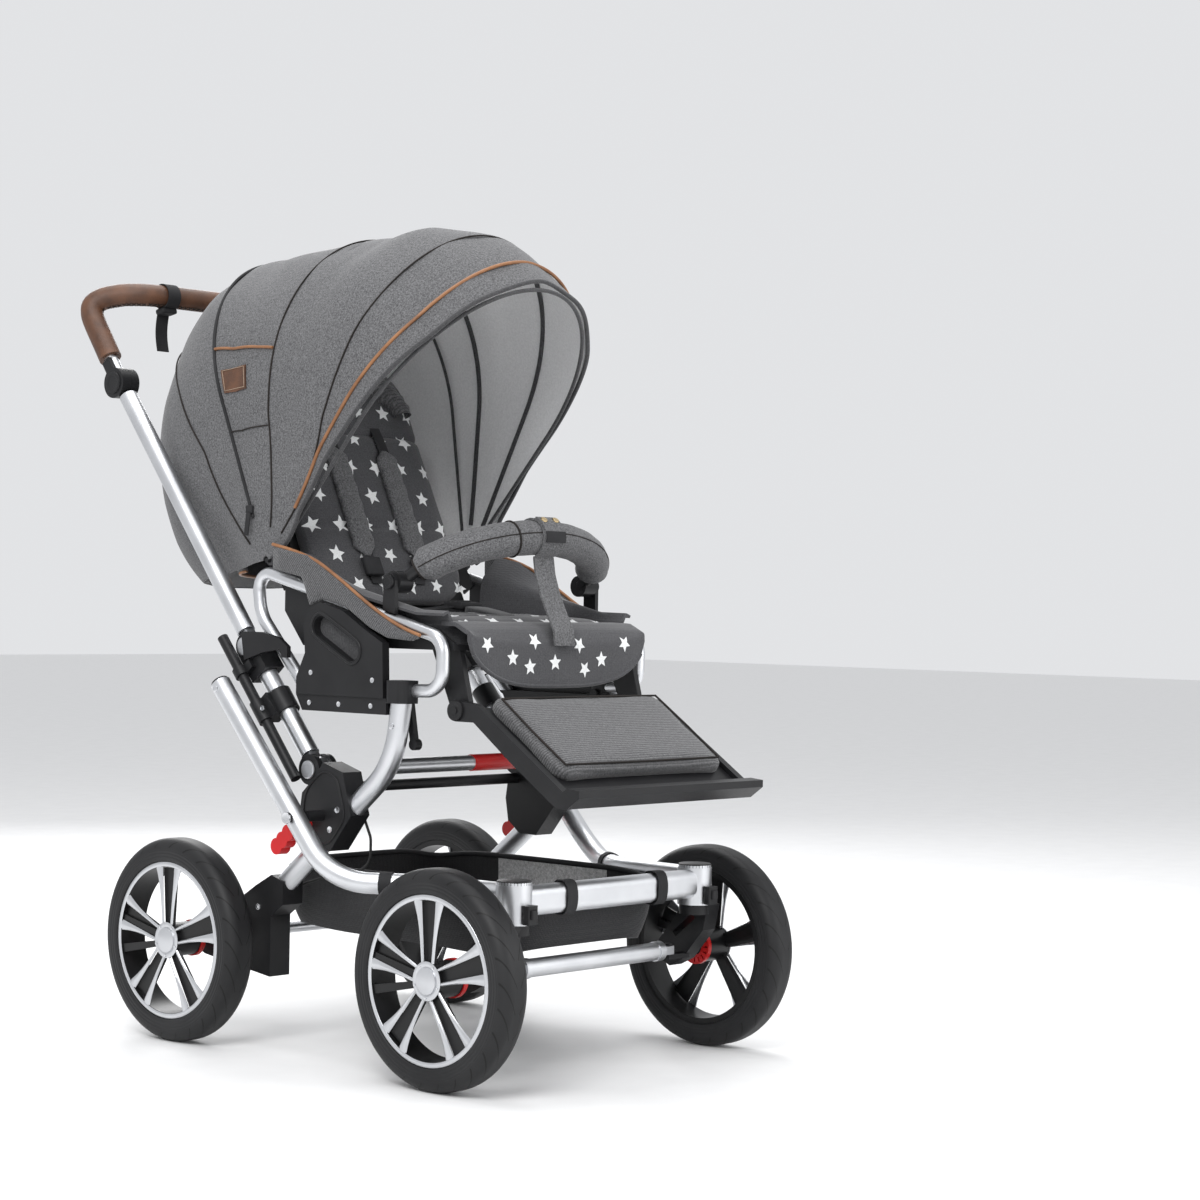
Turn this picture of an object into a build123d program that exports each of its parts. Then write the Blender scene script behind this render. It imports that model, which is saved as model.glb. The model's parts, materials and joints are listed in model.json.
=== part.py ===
from build123d import *
import os
from math import atan2, cos, degrees, hypot, radians, sin

# Baby stroller: tubular cross frame on four wheels, steered front forks, sprung seat carrier,
# reclining seat with footrest, bumper bar, folding canopy and a tilting push handle.
# Millimetres. +Z is up, the front faces -Y, +X is the stroller's left.
# The origin is on the floor, midway between the four wheels.

os.makedirs("parts", exist_ok=True)

SIDES = (("left", 1), ("right", -1))

# ---------------------------------------------------------------- driving dimensions
clearance = 0.3          # between pieces that move against each other
shaft_gap = 0.05         # radial play of a shaft in its bore

wheel_diameter = 300.0
tyre_width = 50.0
tyre_height = 34.0       # tread to bead
wheelbase = 552.0
track = 563.0            # between the middles of the tyres
rim_width = 44.0
rim_wall = 8.0
hub_length = 46.0
hub_radius = 25.0
axle_radius = 6.0
brake_ring_radius = 27.0
brake_ring_thickness = 7.0

leg_x = 213.0            # middle plane of rear legs, hinge blocks, links and push tubes
front_leg_x = 277.0      # middle plane of the outer, front legs
leg_radius = 15.0
link_radius = 14.0
tube_wall = 1.8
spring_x = 205.0         # middle plane of the spring tubes that carry the seat
spring_radius = 9.5
steering_x = 190.0
trail = 49.0             # the steering axis is this far ahead of the front axle
housing_radius = 25.0
housing_bottom = 222.0
housing_top = 276.0

seat_half_width = 195.0
seat_wall = 6.0
handle_height = 1137.0
grip_radius = 18.0
canopy_wall = 3.0

# ---------------------------------------------------------------- derived places
wheel_radius = wheel_diameter / 2
bead_radius = wheel_radius - tyre_height
axle_z = wheel_radius
wheel_x = track / 2
front_y = -wheelbase / 2
rear_y = wheelbase / 2
steering_y = front_y - trail
ring_inner_x = wheel_x - hub_length / 2 - brake_ring_thickness

cross_pivot = (21.0, 348.0)      # front legs cross the rear legs here, as (Y, Z)
link_hinge = (50.0, 412.0)       # foot of the link tube
push_hinge = (198.0, 586.0)      # foot of the push tube
handle_hinge = (526.0, 990.0)    # tilt joint of the handle
knee_hinge = (-212.0, 507.0)     # footrest
recline_hinge = (118.0, 612.0)   # backrest
bumper_hinge = (-92.0, 684.0)
canopy_hinge = (175.0, 714.0)
canopy_peg = (222.3, 751.0)      # holds the lower side of the canopy
lever_hinge = (48.0, 333.0)      # frame release lever
seat_lever_top = (-118.0, 522.0)
seat_lever_foot = (-130.0, 456.0)

hinge_slot = 18.0 + 2 * clearance    # a lug 18 thick turns between two cheeks
cheek_inner = leg_x - leg_radius - 3
cheek_outer = leg_x + leg_radius + 3


# ---------------------------------------------------------------- helpers
def side_plane(x):
    """Plane across X at x, drawn in (Y, Z)."""
    return Plane(origin=(x, 0, 0), x_dir=(0, 1, 0), z_dir=(1, 0, 0))


def plate(outline, inner, outer, side, mode=Mode.ADD):
    """A flat piece between |X| = inner and outer, with an outline in (Y, Z)."""
    with BuildSketch(side_plane(side * inner)) as profile:
        with BuildLine():
            Polyline(*outline, close=True)
        make_face()
    extrude(profile.sketch, amount=side * (outer - inner), mode=mode)


def disc(centre, radius, inner, outer, side, mode=Mode.ADD):
    """A round piece or hole along X between |X| = inner and outer."""
    with BuildSketch(side_plane(side * inner)) as profile:
        with Locations(centre):
            Circle(radius)
    extrude(profile.sketch, amount=side * (outer - inner), mode=mode)


def bar(start, end, half_width, inner, outer, side, mode=Mode.ADD):
    """A flat bar from start to end in (Y, Z), with square ends."""
    length = hypot(end[0] - start[0], end[1] - start[1])
    across = ((start[1] - end[1]) / length * half_width, (end[0] - start[0]) / length * half_width)
    outline = (
        (start[0] + across[0], start[1] + across[1]),
        (end[0] + across[0], end[1] + across[1]),
        (end[0] - across[0], end[1] - across[1]),
        (start[0] - across[0], start[1] - across[1]),
    )
    plate(outline, inner, outer, side, mode)


def between(start, end, distance):
    """The point at a distance from start on the way to end, in (Y, Z)."""
    length = hypot(end[0] - start[0], end[1] - start[1])
    share = distance / length
    return (start[0] + (end[0] - start[0]) * share, start[1] + (end[1] - start[1]) * share)


def pipe(points, bends, outer, bore=0.0):
    """A round tube, or a solid rod, along straight runs joined by bends."""
    with BuildPart() as tube:
        with BuildLine() as route:
            if len(points) == 2:
                Line(*points)
            else:
                FilletPolyline(*points, radius=bends)
        with BuildSketch(Plane(origin=route.line @ 0, z_dir=route.line % 0)):
            Circle(outer)
            if bore:
                Circle(bore, mode=Mode.SUBTRACT)
        sweep()
    return tube.part


def at_side(points, x, side):
    """Turns (Y, Z) points into points in space on the plane |X| = x."""
    return [(side * x, y, z) for y, z in points]


def finish(part, name):
    """Labels a finished piece and writes its file."""
    part.label = name
    export_step(part, f"parts/{name}.step")


# ---------------------------------------------------------------- wheels
def wheel_plane(y, side):
    """Section plane of a wheel: local x points outboard, local y up."""
    return Plane(origin=(side * wheel_x, y, axle_z), x_dir=(side, 0, 0), z_dir=(0, -side, 0))


def make_tyre(name, y, side):
    with BuildPart() as tyre:
        with BuildSketch(wheel_plane(y, side)) as section:
            with Locations((0, wheel_radius - tyre_height / 2)):
                Rectangle(tyre_width, tyre_height)
            fillet(section.vertices().group_by(Axis.Y)[-1], tyre_height / 2)
            fillet(section.vertices().group_by(Axis.Y)[0], 4)
        revolve(axis=Axis((side * wheel_x, y, axle_z), (1, 0, 0)))
    finish(tyre.part, f"{name}_tyre")


def make_rim(name, y, side):
    """Deep black rim with five split spokes near its outer face and a bored hub."""
    spoke_inner = wheel_x + 8
    spoke_outer = wheel_x + 20
    barrel_radius = bead_radius - rim_wall
    bore = axle_radius + shaft_gap
    with BuildPart() as rim:
        with BuildSketch(wheel_plane(y, side)):
            with Locations((0, bead_radius - rim_wall / 2)):
                Rectangle(rim_width, rim_wall)
            with Locations((0, (hub_radius + bore) / 2)):
                Rectangle(hub_length, hub_radius - bore)
        revolve(axis=Axis((side * wheel_x, y, axle_z), (1, 0, 0)))
        with BuildSketch(Plane(origin=(side * spoke_inner, y, axle_z), x_dir=(0, 1, 0), z_dir=(1, 0, 0))):
            with PolarLocations(0, 5, start_angle=90):
                for lean in (1, -1):
                    with BuildLine():
                        Polyline(
                            (hub_radius - 5, 2 * lean),
                            (barrel_radius + 3, 17 * lean),
                            (barrel_radius + 3, 30 * lean),
                            (hub_radius - 5, 11 * lean),
                            close=True,
                        )
                    make_face()
        extrude(amount=side * (spoke_outer - spoke_inner))
        disc((y, axle_z), 10.5, wheel_x + hub_length / 2 - 8, wheel_x + hub_length / 2, side, Mode.SUBTRACT)
    finish(rim.part, f"{name}_rim")


def make_brake_ring(name, y, side):
    """Slotted ring bolted to the inner end of the hub."""
    with BuildPart() as ring:
        with BuildSketch(Plane(origin=(side * ring_inner_x, y, axle_z), x_dir=(0, 1, 0), z_dir=(1, 0, 0))):
            Circle(brake_ring_radius)
            Circle(13, mode=Mode.SUBTRACT)
            with PolarLocations(20.5, 16):
                Rectangle(8, 2.4, mode=Mode.SUBTRACT)
        extrude(amount=side * brake_ring_thickness)
    finish(ring.part, f"{name}_brake_ring")


for end, end_y in (("front", front_y), ("rear", rear_y)):
    for word, side in SIDES:
        make_tyre(f"{end}_{word}", end_y, side)
        make_rim(f"{end}_{word}", end_y, side)
        make_brake_ring(f"{end}_{word}", end_y, side)


def stub_axle(y, side, inner):
    """Stepped wheel axle: spacer, journal and a head sunk in the hub."""
    hub_outer = wheel_x + hub_length / 2
    disc((y, axle_z), 10, inner, ring_inner_x - clearance, side)
    disc((y, axle_z), axle_radius, ring_inner_x - clearance, hub_outer - 3, side)
    disc((y, axle_z), 9, hub_outer - 8 + clearance, hub_outer - 3, side)


# ---------------------------------------------------------------- front frame
rail_z = 262.0
front_leg_top = (195.0, 532.0)
front_leg_foot = (-52.0, rail_z)
rail_inner_x = 200.0
rail_inner_y = -170.0


def front_leg_points(side):
    return [
        (side * front_leg_x, *front_leg_top),
        (side * front_leg_x, *front_leg_foot),
        (side * rail_inner_x, rail_inner_y, rail_z),
        (side * steering_x, steering_y, rail_z),
    ]


front_leg_bends = [110, 140]

top_direction = Vector(0, front_leg_foot[0] - front_leg_top[0], front_leg_foot[1] - front_leg_top[1])
with BuildPart() as front_legs:
    for word, side in SIDES:
        add(pipe(front_leg_points(side), front_leg_bends, leg_radius, leg_radius - tube_wall))
        with Locations((side * steering_x, steering_y, rail_z)):
            Cylinder(housing_radius, 60, mode=Mode.SUBTRACT)
        disc(cross_pivot, 4 + shaft_gap, front_leg_x - 20, front_leg_x + 20, side, Mode.SUBTRACT)
        with BuildSketch(Plane(origin=(side * front_leg_x, *front_leg_top), z_dir=top_direction)):
            Circle(leg_radius - tube_wall)
        extrude(amount=14)
finish(front_legs.part, "front_legs")

crossbar_y = steering_y - 6
with BuildPart() as front_crossbar:
    with BuildSketch(side_plane(-steering_x)):
        with Locations((crossbar_y, 253)):
            SlotOverall(42, 26, rotation=90)
            SlotOverall(42 - 2 * tube_wall, 26 - 2 * tube_wall, rotation=90, mode=Mode.SUBTRACT)
    extrude(amount=2 * steering_x)
    with Locations((steering_x, steering_y, 250), (-steering_x, steering_y, 250)):
        Cylinder(housing_radius, 80, mode=Mode.SUBTRACT)
finish(front_crossbar.part, "front_crossbar")

stem_radius = 11.0
steering_places = ((steering_x, steering_y), (-steering_x, steering_y))
with BuildPart() as swivel_housings:
    with BuildSketch(Plane.XY.offset(housing_bottom)):
        with Locations(*steering_places):
            Circle(housing_radius)
    extrude(amount=housing_top - housing_bottom)
    with BuildSketch(Plane.XY.offset(housing_bottom)):
        with Locations(*steering_places):
            Circle(stem_radius + shaft_gap)
    extrude(amount=housing_top - housing_bottom - 5, mode=Mode.SUBTRACT)
    with BuildSketch(Plane.XY.offset(housing_top)):
        with Locations(*steering_places):
            Circle(housing_radius - 1)
    extrude(amount=5)
    fillet(swivel_housings.edges().group_by(Axis.Z)[-1], 2)
finish(swivel_housings.part, "swivel_housings")

# Swivel lock: a tab that slides up and down on the front of each housing
latch_bottom = 212.0
latch_face = steering_y - housing_radius - clearance
for word, side in SIDES:
    with BuildPart() as latch:
        with BuildSketch(Plane.XY.offset(latch_bottom + 12)):
            with Locations((side * steering_x, latch_face - 6)):
                RectangleRounded(20, 12, 3)
        extrude(amount=26)
        with BuildSketch(Plane.XY.offset(latch_bottom + 20)):
            with Locations((side * steering_x, latch_face - 12)):
                RectangleRounded(12, 8, 3)
        extrude(amount=12)
    finish(latch.part, f"swivel_latch_{word}")

# Forks: stem, boss, slotted one-sided blade, stub axle and the pin of the steering rod
blade_inner = steering_x + 4
blade_outer = steering_x + 32
rod_pin_x = steering_x - 24
rod_pin_y = steering_y + 27
rod_z = 148.0
lug_height = 12.0
for word, side in SIDES:
    with BuildPart() as fork:
        with BuildSketch(Plane.XY.offset(housing_bottom - clearance)):
            with Locations((side * steering_x, steering_y)):
                Circle(stem_radius)
        extrude(amount=housing_top - housing_bottom - 5)
        with BuildSketch(Plane.XY.offset(housing_bottom - clearance)):
            with Locations((side * steering_x, steering_y)):
                Circle(22)
        extrude(amount=-14)
        blade = (
            (steering_y - 22, housing_bottom - clearance),
            (steering_y + 22, housing_bottom - clearance),
            (front_y + 22, axle_z + 12),
            (front_y + 20, axle_z - 14),
            (front_y, axle_z - 24),
            (front_y - 24, axle_z - 12),
            (steering_y - 14, axle_z + 34),
        )
        plate(blade, blade_inner, blade_outer, side)
        bar((steering_y + 4, housing_bottom - 18), (front_y - 8, axle_z + 24), 5,
            blade_inner, blade_outer, side, Mode.SUBTRACT)
        stub_axle(front_y, side, blade_outer)
        with BuildSketch(Plane.XY.offset(rod_z - clearance)):
            with Locations((side * (rod_pin_x + blade_inner) / 2, rod_pin_y)):
                Rectangle(blade_inner - rod_pin_x + 18, 18)
        extrude(amount=-7)
        with BuildSketch(Plane.XY.offset(rod_z - clearance)):
            with Locations((side * rod_pin_x, rod_pin_y)):
                Circle(3)
        extrude(amount=lug_height + 4)
        with BuildSketch(Plane.XY.offset(rod_z + lug_height + clearance)):
            with Locations((side * rod_pin_x, rod_pin_y)):
                Circle(5.5)
        extrude(amount=3)
    finish(fork.part, f"fork_{word}")

# Steering rod: a tube between two eyes; the right eye is wide, to let the forks turn together
rod_end = rod_pin_x - 24
with BuildPart() as steering_rod:
    add(pipe([(-rod_end, rod_pin_y, rod_z + lug_height / 2), (rod_end, rod_pin_y, rod_z + lug_height / 2)],
             None, 13, 11))
    with BuildSketch(Plane.XY.offset(rod_z)):
        for side, eye in ((1, 3 + shaft_gap), (-1, 4.3)):
            with Locations((side * (rod_end + rod_pin_x) / 2, rod_pin_y)):
                Rectangle(rod_pin_x - rod_end + 6, 16)
            with Locations((side * rod_pin_x, rod_pin_y)):
                Circle(8)
        for side, eye in ((1, 3 + shaft_gap), (-1, 4.3)):
            with Locations((side * rod_pin_x, rod_pin_y)):
                Circle(eye, mode=Mode.SUBTRACT)
    extrude(amount=lug_height)
    for side in (1, -1):
        disc((rod_pin_y, rod_z + lug_height / 2), 14.5, rod_end - 8, rod_end + 4, side)
finish(steering_rod.part, "steering_rod")

# ---------------------------------------------------------------- basket
basket_half_width = 170.0
basket_front = steering_y + 30
basket_rear = 200.0
basket_top = 264.0
basket_depth = 96.0
basket_wall = 2.5
basket_length = basket_rear - basket_front
with BuildPart() as basket:
    for inset, mode in ((0.0, Mode.ADD), (basket_wall, Mode.SUBTRACT)):
        with BuildSketch(Plane.XY.offset(basket_top)):
            with Locations((0, (basket_front + basket_rear) / 2)):
                RectangleRounded(2 * (basket_half_width - inset), basket_length - 2 * inset, 40 - inset)
        extrude(amount=-(basket_depth - inset), taper=6, mode=mode)
finish(basket.part, "basket")

strap_x = 95.0
rail_strap_y = -112.0
rail_strap_share = (rail_strap_y - front_leg_foot[0]) / (rail_inner_y - front_leg_foot[0])
rail_strap_x = front_leg_x + (rail_inner_x - front_leg_x) * rail_strap_share
with BuildPart() as basket_straps:
    for side in (1, -1):
        with BuildSketch(side_plane(side * strap_x - 9)):
            with Locations((crossbar_y, 253)):
                SlotOverall(42 + 4, 26 + 4, rotation=90)
                SlotOverall(42 + 0.6, 26 + 0.6, rotation=90, mode=Mode.SUBTRACT)
        extrude(amount=18)
        tab_start = crossbar_y + 13.5
        with BuildSketch(Plane.XY.offset(basket_top - 12)):
            with Locations((side * strap_x, (tab_start + basket_front + 1) / 2)):
                Rectangle(18, basket_front - tab_start - 0.2)
        extrude(amount=2)
        rail_direction = Vector(side * (rail_inner_x - front_leg_x), rail_inner_y - front_leg_foot[0], 0)
        with BuildSketch(Plane(origin=(side * rail_strap_x, rail_strap_y, rail_z), z_dir=rail_direction)):
            Circle(leg_radius + 2)
            Circle(leg_radius + 0.3, mode=Mode.SUBTRACT)
        extrude(amount=18, both=False)
        with BuildSketch(Plane.XY.offset(rail_z - 1)):
            with Locations((side * (basket_half_width + rail_strap_x - leg_radius - 20) / 2, rail_strap_y - 16)):
                Rectangle(rail_strap_x - leg_radius - 20 - basket_half_width - 0.6, 16)
        extrude(amount=2)
finish(basket_straps.part, "basket_straps")

# ---------------------------------------------------------------- rear frame
rear_leg_top = (-124.0, 530.0)
rear_leg_knee = (-108.5, 427.0)
block_front = rear_y - 148
rear_leg_foot = (block_front - 4, axle_z + 84)
rear_leg_bend = [130]


def rear_leg_points(side):
    return at_side((rear_leg_top, rear_leg_knee, rear_leg_foot), leg_x, side)


with BuildPart() as rear_legs:
    for word, side in SIDES:
        add(pipe(rear_leg_points(side), rear_leg_bend, leg_radius, leg_radius - tube_wall))
finish(rear_legs.part, "rear_legs")

with BuildPart() as leg_caps:
    for word, side in SIDES:
        with BuildSketch(Plane.XY.offset(514)):
            with Locations((side * leg_x, rear_leg_top[0] + 1)):
                RectangleRounded(37, 40, 12)
        extrude(amount=32)
        add(pipe(rear_leg_points(side), rear_leg_bend, leg_radius), mode=Mode.SUBTRACT)
        lever_outer = leg_x - leg_radius - clearance
        disc(seat_lever_top, 7, lever_outer - 8, lever_outer, side)
        bar(seat_lever_top, seat_lever_foot, 5, lever_outer - 8, lever_outer, side)
        disc(seat_lever_foot, 8, lever_outer - 11, lever_outer, side)
        disc(seat_lever_top, 5, lever_outer - 1, leg_x - 8, side)
        add(pipe(rear_leg_points(side), rear_leg_bend, leg_radius), mode=Mode.SUBTRACT)
finish(leg_caps.part, "leg_caps")

hinge_block_outline = (
    (-22, 412), (20, 424), (40, 400), (64, 378), (68, 352), (62, 318), (38, 299), (2, 298), (-41, 351),
)
with BuildPart() as hinge_blocks:
    for word, side in SIDES:
        plate(hinge_block_outline, cheek_inner, cheek_outer, side)
        disc(link_hinge, 22, cheek_inner, cheek_outer, side)
        disc(link_hinge, 24, leg_x - hinge_slot / 2, leg_x + hinge_slot / 2, side, Mode.SUBTRACT)
        bar(link_hinge, (link_hinge[0] + 80, link_hinge[1] + 94), 24,
            leg_x - hinge_slot / 2, leg_x + hinge_slot / 2, side, Mode.SUBTRACT)
        bar(link_hinge, (link_hinge[0] + 60, link_hinge[1]), 16,
            leg_x - hinge_slot / 2, leg_x + hinge_slot / 2, side, Mode.SUBTRACT)
        add(pipe(rear_leg_points(side), rear_leg_bend, leg_radius), mode=Mode.SUBTRACT)
        disc(link_hinge, 5, cheek_inner - 3, cheek_outer + 1, side)
        disc(link_hinge, 12, cheek_outer, cheek_outer + 1.2, side)
        disc(cross_pivot, 8, cheek_outer, front_leg_x - leg_radius - clearance, side)
        disc(cross_pivot, 4, cheek_outer, front_leg_x + leg_radius + 5, side)
        disc(cross_pivot, 7, front_leg_x + leg_radius + clearance, front_leg_x + leg_radius + 5, side)
        disc(lever_hinge, 3, cheek_outer, cheek_outer + 21, side)
        disc(lever_hinge, 6, cheek_outer + 18.6, cheek_outer + 21, side)
        disc((46, 384), 8, 0, cheek_inner, side)
finish(hinge_blocks.part, "hinge_blocks")

# Axle blocks: black housings from the foot of each rear leg back to the rear axle
block_inner = leg_x - 20
block_outer = leg_x + 18
axle_block_outline = (
    (block_front, axle_z - 45), (block_front, axle_z + 104), (block_front + 34, axle_z + 86),
    (rear_y - 26, axle_z + 32), (rear_y, axle_z + 26), (rear_y + 24, axle_z + 16),
    (rear_y + 24, axle_z - 16), (rear_y, axle_z - 26), (rear_y - 60, axle_z - 34),
)
with BuildPart() as axle_blocks:
    for word, side in SIDES:
        plate(axle_block_outline, block_inner, block_outer, side)
        plate(((block_front - 26, axle_z + 62), (block_front - 26, axle_z + 96), (block_front, axle_z + 104),
               (block_front, axle_z + 44)), block_inner, block_outer, side)
        add(pipe(rear_leg_points(side), rear_leg_bend, leg_radius), mode=Mode.SUBTRACT)
        disc((rear_y, axle_z), 9, block_inner, block_outer, side, Mode.SUBTRACT)
finish(axle_blocks.part, "axle_blocks")

with BuildPart() as rear_axle:
    disc((rear_y, axle_z), 9, 0, block_outer, 1)
    disc((rear_y, axle_z), 9, 0, block_outer, -1)
    for word, side in SIDES:
        stub_axle(rear_y, side, block_outer)
finish(rear_axle.part, "rear_axle")

crossbar_place = (-98.0, 424.0)
with BuildPart() as mid_crossbar:
    disc(crossbar_place, 11, 0, leg_x, 1)
    disc(crossbar_place, 11, 0, leg_x, -1)
    for word, side in SIDES:
        add(pipe(rear_leg_points(side), rear_leg_bend, leg_radius), mode=Mode.SUBTRACT)
mid_crossbar.part = mid_crossbar.part.solids().sort_by(SortBy.VOLUME)[-1]
finish(mid_crossbar.part, "mid_crossbar")

# Seat rails run back from the leg caps and end in front of the link collars
rail_bottom = 497.0
rail_top = 520.0
rail_front = seat_lever_top[0] + leg_radius    # against the back of the rear leg
rail_rear = 88.0
rail_inner = leg_x - 12
with BuildPart() as seat_rails:
    for word, side in SIDES:
        plate(((rail_front, rail_bottom), (rail_front, rail_top), (rail_rear, rail_top), (rail_rear - 14, rail_bottom)),
              rail_inner, rail_inner + 24, side)
finish(seat_rails.part, "seat_rails")

# Spring tubes: a rising C behind, a seat rail above and a C in front, one bent tube a side
spring_points = ((75, 515), (191, 633), (201, 702), (-196, 606), (-194, 534), (-120, 531))
spring_bends = [60, 24, 30, 30]
with BuildPart() as spring_tubes:
    for word, side in SIDES:
        add(pipe(at_side(spring_points, spring_x, side), spring_bends, spring_radius, spring_radius - tube_wall))
        plate(((-110, 480), (-110, rail_top), (rail_rear, rail_top), (rail_rear, 480)), 180, 240, side, Mode.SUBTRACT)
        with BuildSketch(Plane.XY.offset(514)):
            with Locations((side * leg_x, rear_leg_top[0] + 1)):
                RectangleRounded(37, 40, 12)
        extrude(amount=32, mode=Mode.SUBTRACT)
finish(spring_tubes.part, "spring_tubes")

panel_inner = spring_x + spring_radius + 1
panel_outer = panel_inner + 13
panel_outline = (
    (-100, rail_top + clearance), (84, rail_top + clearance), (84, 545), (66, 580), (70, 622), (62, 643), (35, 654),
    (-13, 642), (-62, 615), (-97, 598),
)
with BuildPart() as side_panels:
    for word, side in SIDES:
        plate(panel_outline, panel_inner, panel_outer, side)
        with BuildSketch(side_plane(side * (panel_inner - 1))):
            with Locations((0, 602)):
                SlotOverall(104, 30, rotation=27)
        extrude(amount=side * 20, mode=Mode.SUBTRACT)
finish(side_panels.part, "side_panels")

# Brake cable, clipped to the right hinge block above and the right axle block below
cable_x = -(block_inner - 2.2)
cable_points = [
    (cable_x, -22, 352), (cable_x, -40, 318), (cable_x, -40, 284), (cable_x, -8, 262), (cable_x, 50, 256),
    (cable_x, 110, 238), (cable_x, 150, 205),
]
cable_bends = [22, 22, 40, 90, 70]
cable_thickness = 4.0
with BuildPart() as brake_cable:
    add(pipe(cable_points, cable_bends, cable_thickness / 2))
finish(brake_cable.part, "brake_cable")
print("brake cable", cable_thickness, "thick, bend radii", cable_bends)

# Frame release levers, red, behind the hinge blocks
for word, side in SIDES:
    with BuildPart() as release_lever:
        inner = cheek_outer + clearance
        outer = cheek_outer + 18
        disc(lever_hinge, 8, inner, outer, side)
        bar(lever_hinge, (76, 318), 6, inner, outer, side)
        for place in ((74, 320), (86, 309), (98, 299)):
            disc(place, 12, inner, outer, side)
        disc(lever_hinge, 3 + shaft_gap, inner, outer, side, Mode.SUBTRACT)
    finish(release_lever.part, f"release_lever_{word}")

# ---------------------------------------------------------------- links
link_length = hypot(push_hinge[0] - link_hinge[0], push_hinge[1] - link_hinge[1])
link_direction = Vector(0, push_hinge[0] - link_hinge[0], push_hinge[1] - link_hinge[1]).normalized()
tube_start = 27.0        # tubes begin this far from their hinge
rod_x = cheek_outer + 9.5 + clearance
rod_offset = 21.0        # the lock rod lies this far behind the link tube


def link_plane(distance, side):
    """Plane across the link tube; local y points to the rear."""
    origin = Vector(side * leg_x, *link_hinge) + link_direction * distance
    return Plane(origin=origin, x_dir=(1, 0, 0), z_dir=link_direction)


def lug(hinge, toward, side):
    """Round eye with a neck that runs into the end of a tube."""
    disc(hinge, 18, leg_x - 9, leg_x + 9, side)
    bar(hinge, between(hinge, toward, tube_start + 12), 9, leg_x - 8.4, leg_x + 8.4, side)
    disc(hinge, 5 + shaft_gap, leg_x - 9, leg_x + 9, side, Mode.SUBTRACT)


with BuildPart() as link_tubes:
    for word, side in SIDES:
        ends = (between(link_hinge, push_hinge, tube_start), between(link_hinge, push_hinge, link_length - 30))
        add(pipe(at_side(ends, leg_x, side), None, link_radius, link_radius - 2.2))
        lug(link_hinge, push_hinge, side)
finish(link_tubes.part, "link_tubes")

with BuildPart() as push_clamps:
    for word, side in SIDES:
        with BuildSketch(link_plane(link_length - 54, side)):
            Rectangle(36, 38)
        extrude(amount=28)
        start = between(link_hinge, push_hinge, link_length - 54)
        bar(start, push_hinge, 19, cheek_inner, leg_x - hinge_slot / 2, side)
        bar(start, push_hinge, 19, leg_x + hinge_slot / 2, cheek_outer, side)
        disc(push_hinge, 19, cheek_inner, leg_x - hinge_slot / 2, side)
        disc(push_hinge, 19, leg_x + hinge_slot / 2, cheek_outer, side)
        ends = (link_hinge, between(link_hinge, push_hinge, link_length - 30))
        add(pipe(at_side(ends, leg_x, side), None, link_radius), mode=Mode.SUBTRACT)
        disc(push_hinge, 5, cheek_inner - 2, cheek_outer + 1, side)
        disc(push_hinge, 12, cheek_outer, cheek_outer + 1.4, side)
        hook = ((198, 608), (150, 608), (112, 600), (94, 588), (94, 572), (106, 572), (112, 584), (150, 578), (190, 566))
        plate(hook, cheek_outer, cheek_outer + 7, side)
finish(push_clamps.part, "push_clamps")

with BuildPart() as lock_rods:
    for word, side in SIDES:
        with BuildSketch(link_plane(0, side)):
            with Locations((side * (rod_x - leg_x), rod_offset)):
                Circle(8)
        extrude(amount=link_length + 34)
        for distance, height in ((104, 36), (link_length - 40, 14)):
            with BuildSketch(link_plane(distance, side)):
                Circle(18.5)
                with Locations((side * (rod_x - leg_x), rod_offset)):
                    Circle(11)
                with Locations((side * (rod_x - leg_x) / 2, rod_offset / 2)):
                    Rectangle(24, 26)
                if distance > 150:
                    Rectangle(36, 38, mode=Mode.SUBTRACT)
                else:
                    Circle(link_radius, mode=Mode.SUBTRACT)
            extrude(amount=height)
finish(lock_rods.part, "lock_rods")

# ---------------------------------------------------------------- push bar and handle
push_length = hypot(handle_hinge[0] - push_hinge[0], handle_hinge[1] - push_hinge[1])
with BuildPart() as push_tubes:
    for word, side in SIDES:
        ends = (
            between(push_hinge, handle_hinge, tube_start),
            between(push_hinge, handle_hinge, push_length - tube_start),
        )
        add(pipe(at_side(ends, leg_x, side), None, link_radius, link_radius - 1.8))
        lug(push_hinge, handle_hinge, side)
finish(push_tubes.part, "push_tubes")

joint_radius = 24.0
joint_split = leg_x - 1
with BuildPart() as handle_joints:
    for word, side in SIDES:
        disc(handle_hinge, joint_radius, joint_split - 15, joint_split, side)
        bar(handle_hinge, between(handle_hinge, push_hinge, tube_start + 16), 9, joint_split - 10, joint_split, side)
        disc(handle_hinge, 6, joint_split, joint_split + 13, side)
        ends = (between(push_hinge, handle_hinge, push_length - tube_start - 30),
                between(push_hinge, handle_hinge, push_length - tube_start))
        wall = pipe(at_side(ends, leg_x, side), None, link_radius, link_radius - 1.8)
        add(wall, mode=Mode.SUBTRACT)
finish(handle_joints.part, "handle_joints")

handle_corner = (608.0, 1102.0)
crossbar_handle_y = 548.0


def handle_points():
    corner = [(leg_x, *handle_corner), (124, crossbar_handle_y, handle_height)]
    start = (leg_x, *between(handle_hinge, handle_corner, tube_start + 1))
    left = [start] + corner
    right = [(-x, y, z) for x, y, z in reversed(left)]
    return left + right


handle_bends = [62, 70, 70, 62]
with BuildPart() as handle_tube:
    add(pipe(handle_points(), handle_bends, 11, 9.2))
finish(handle_tube.part, "handle_tube")

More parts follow.
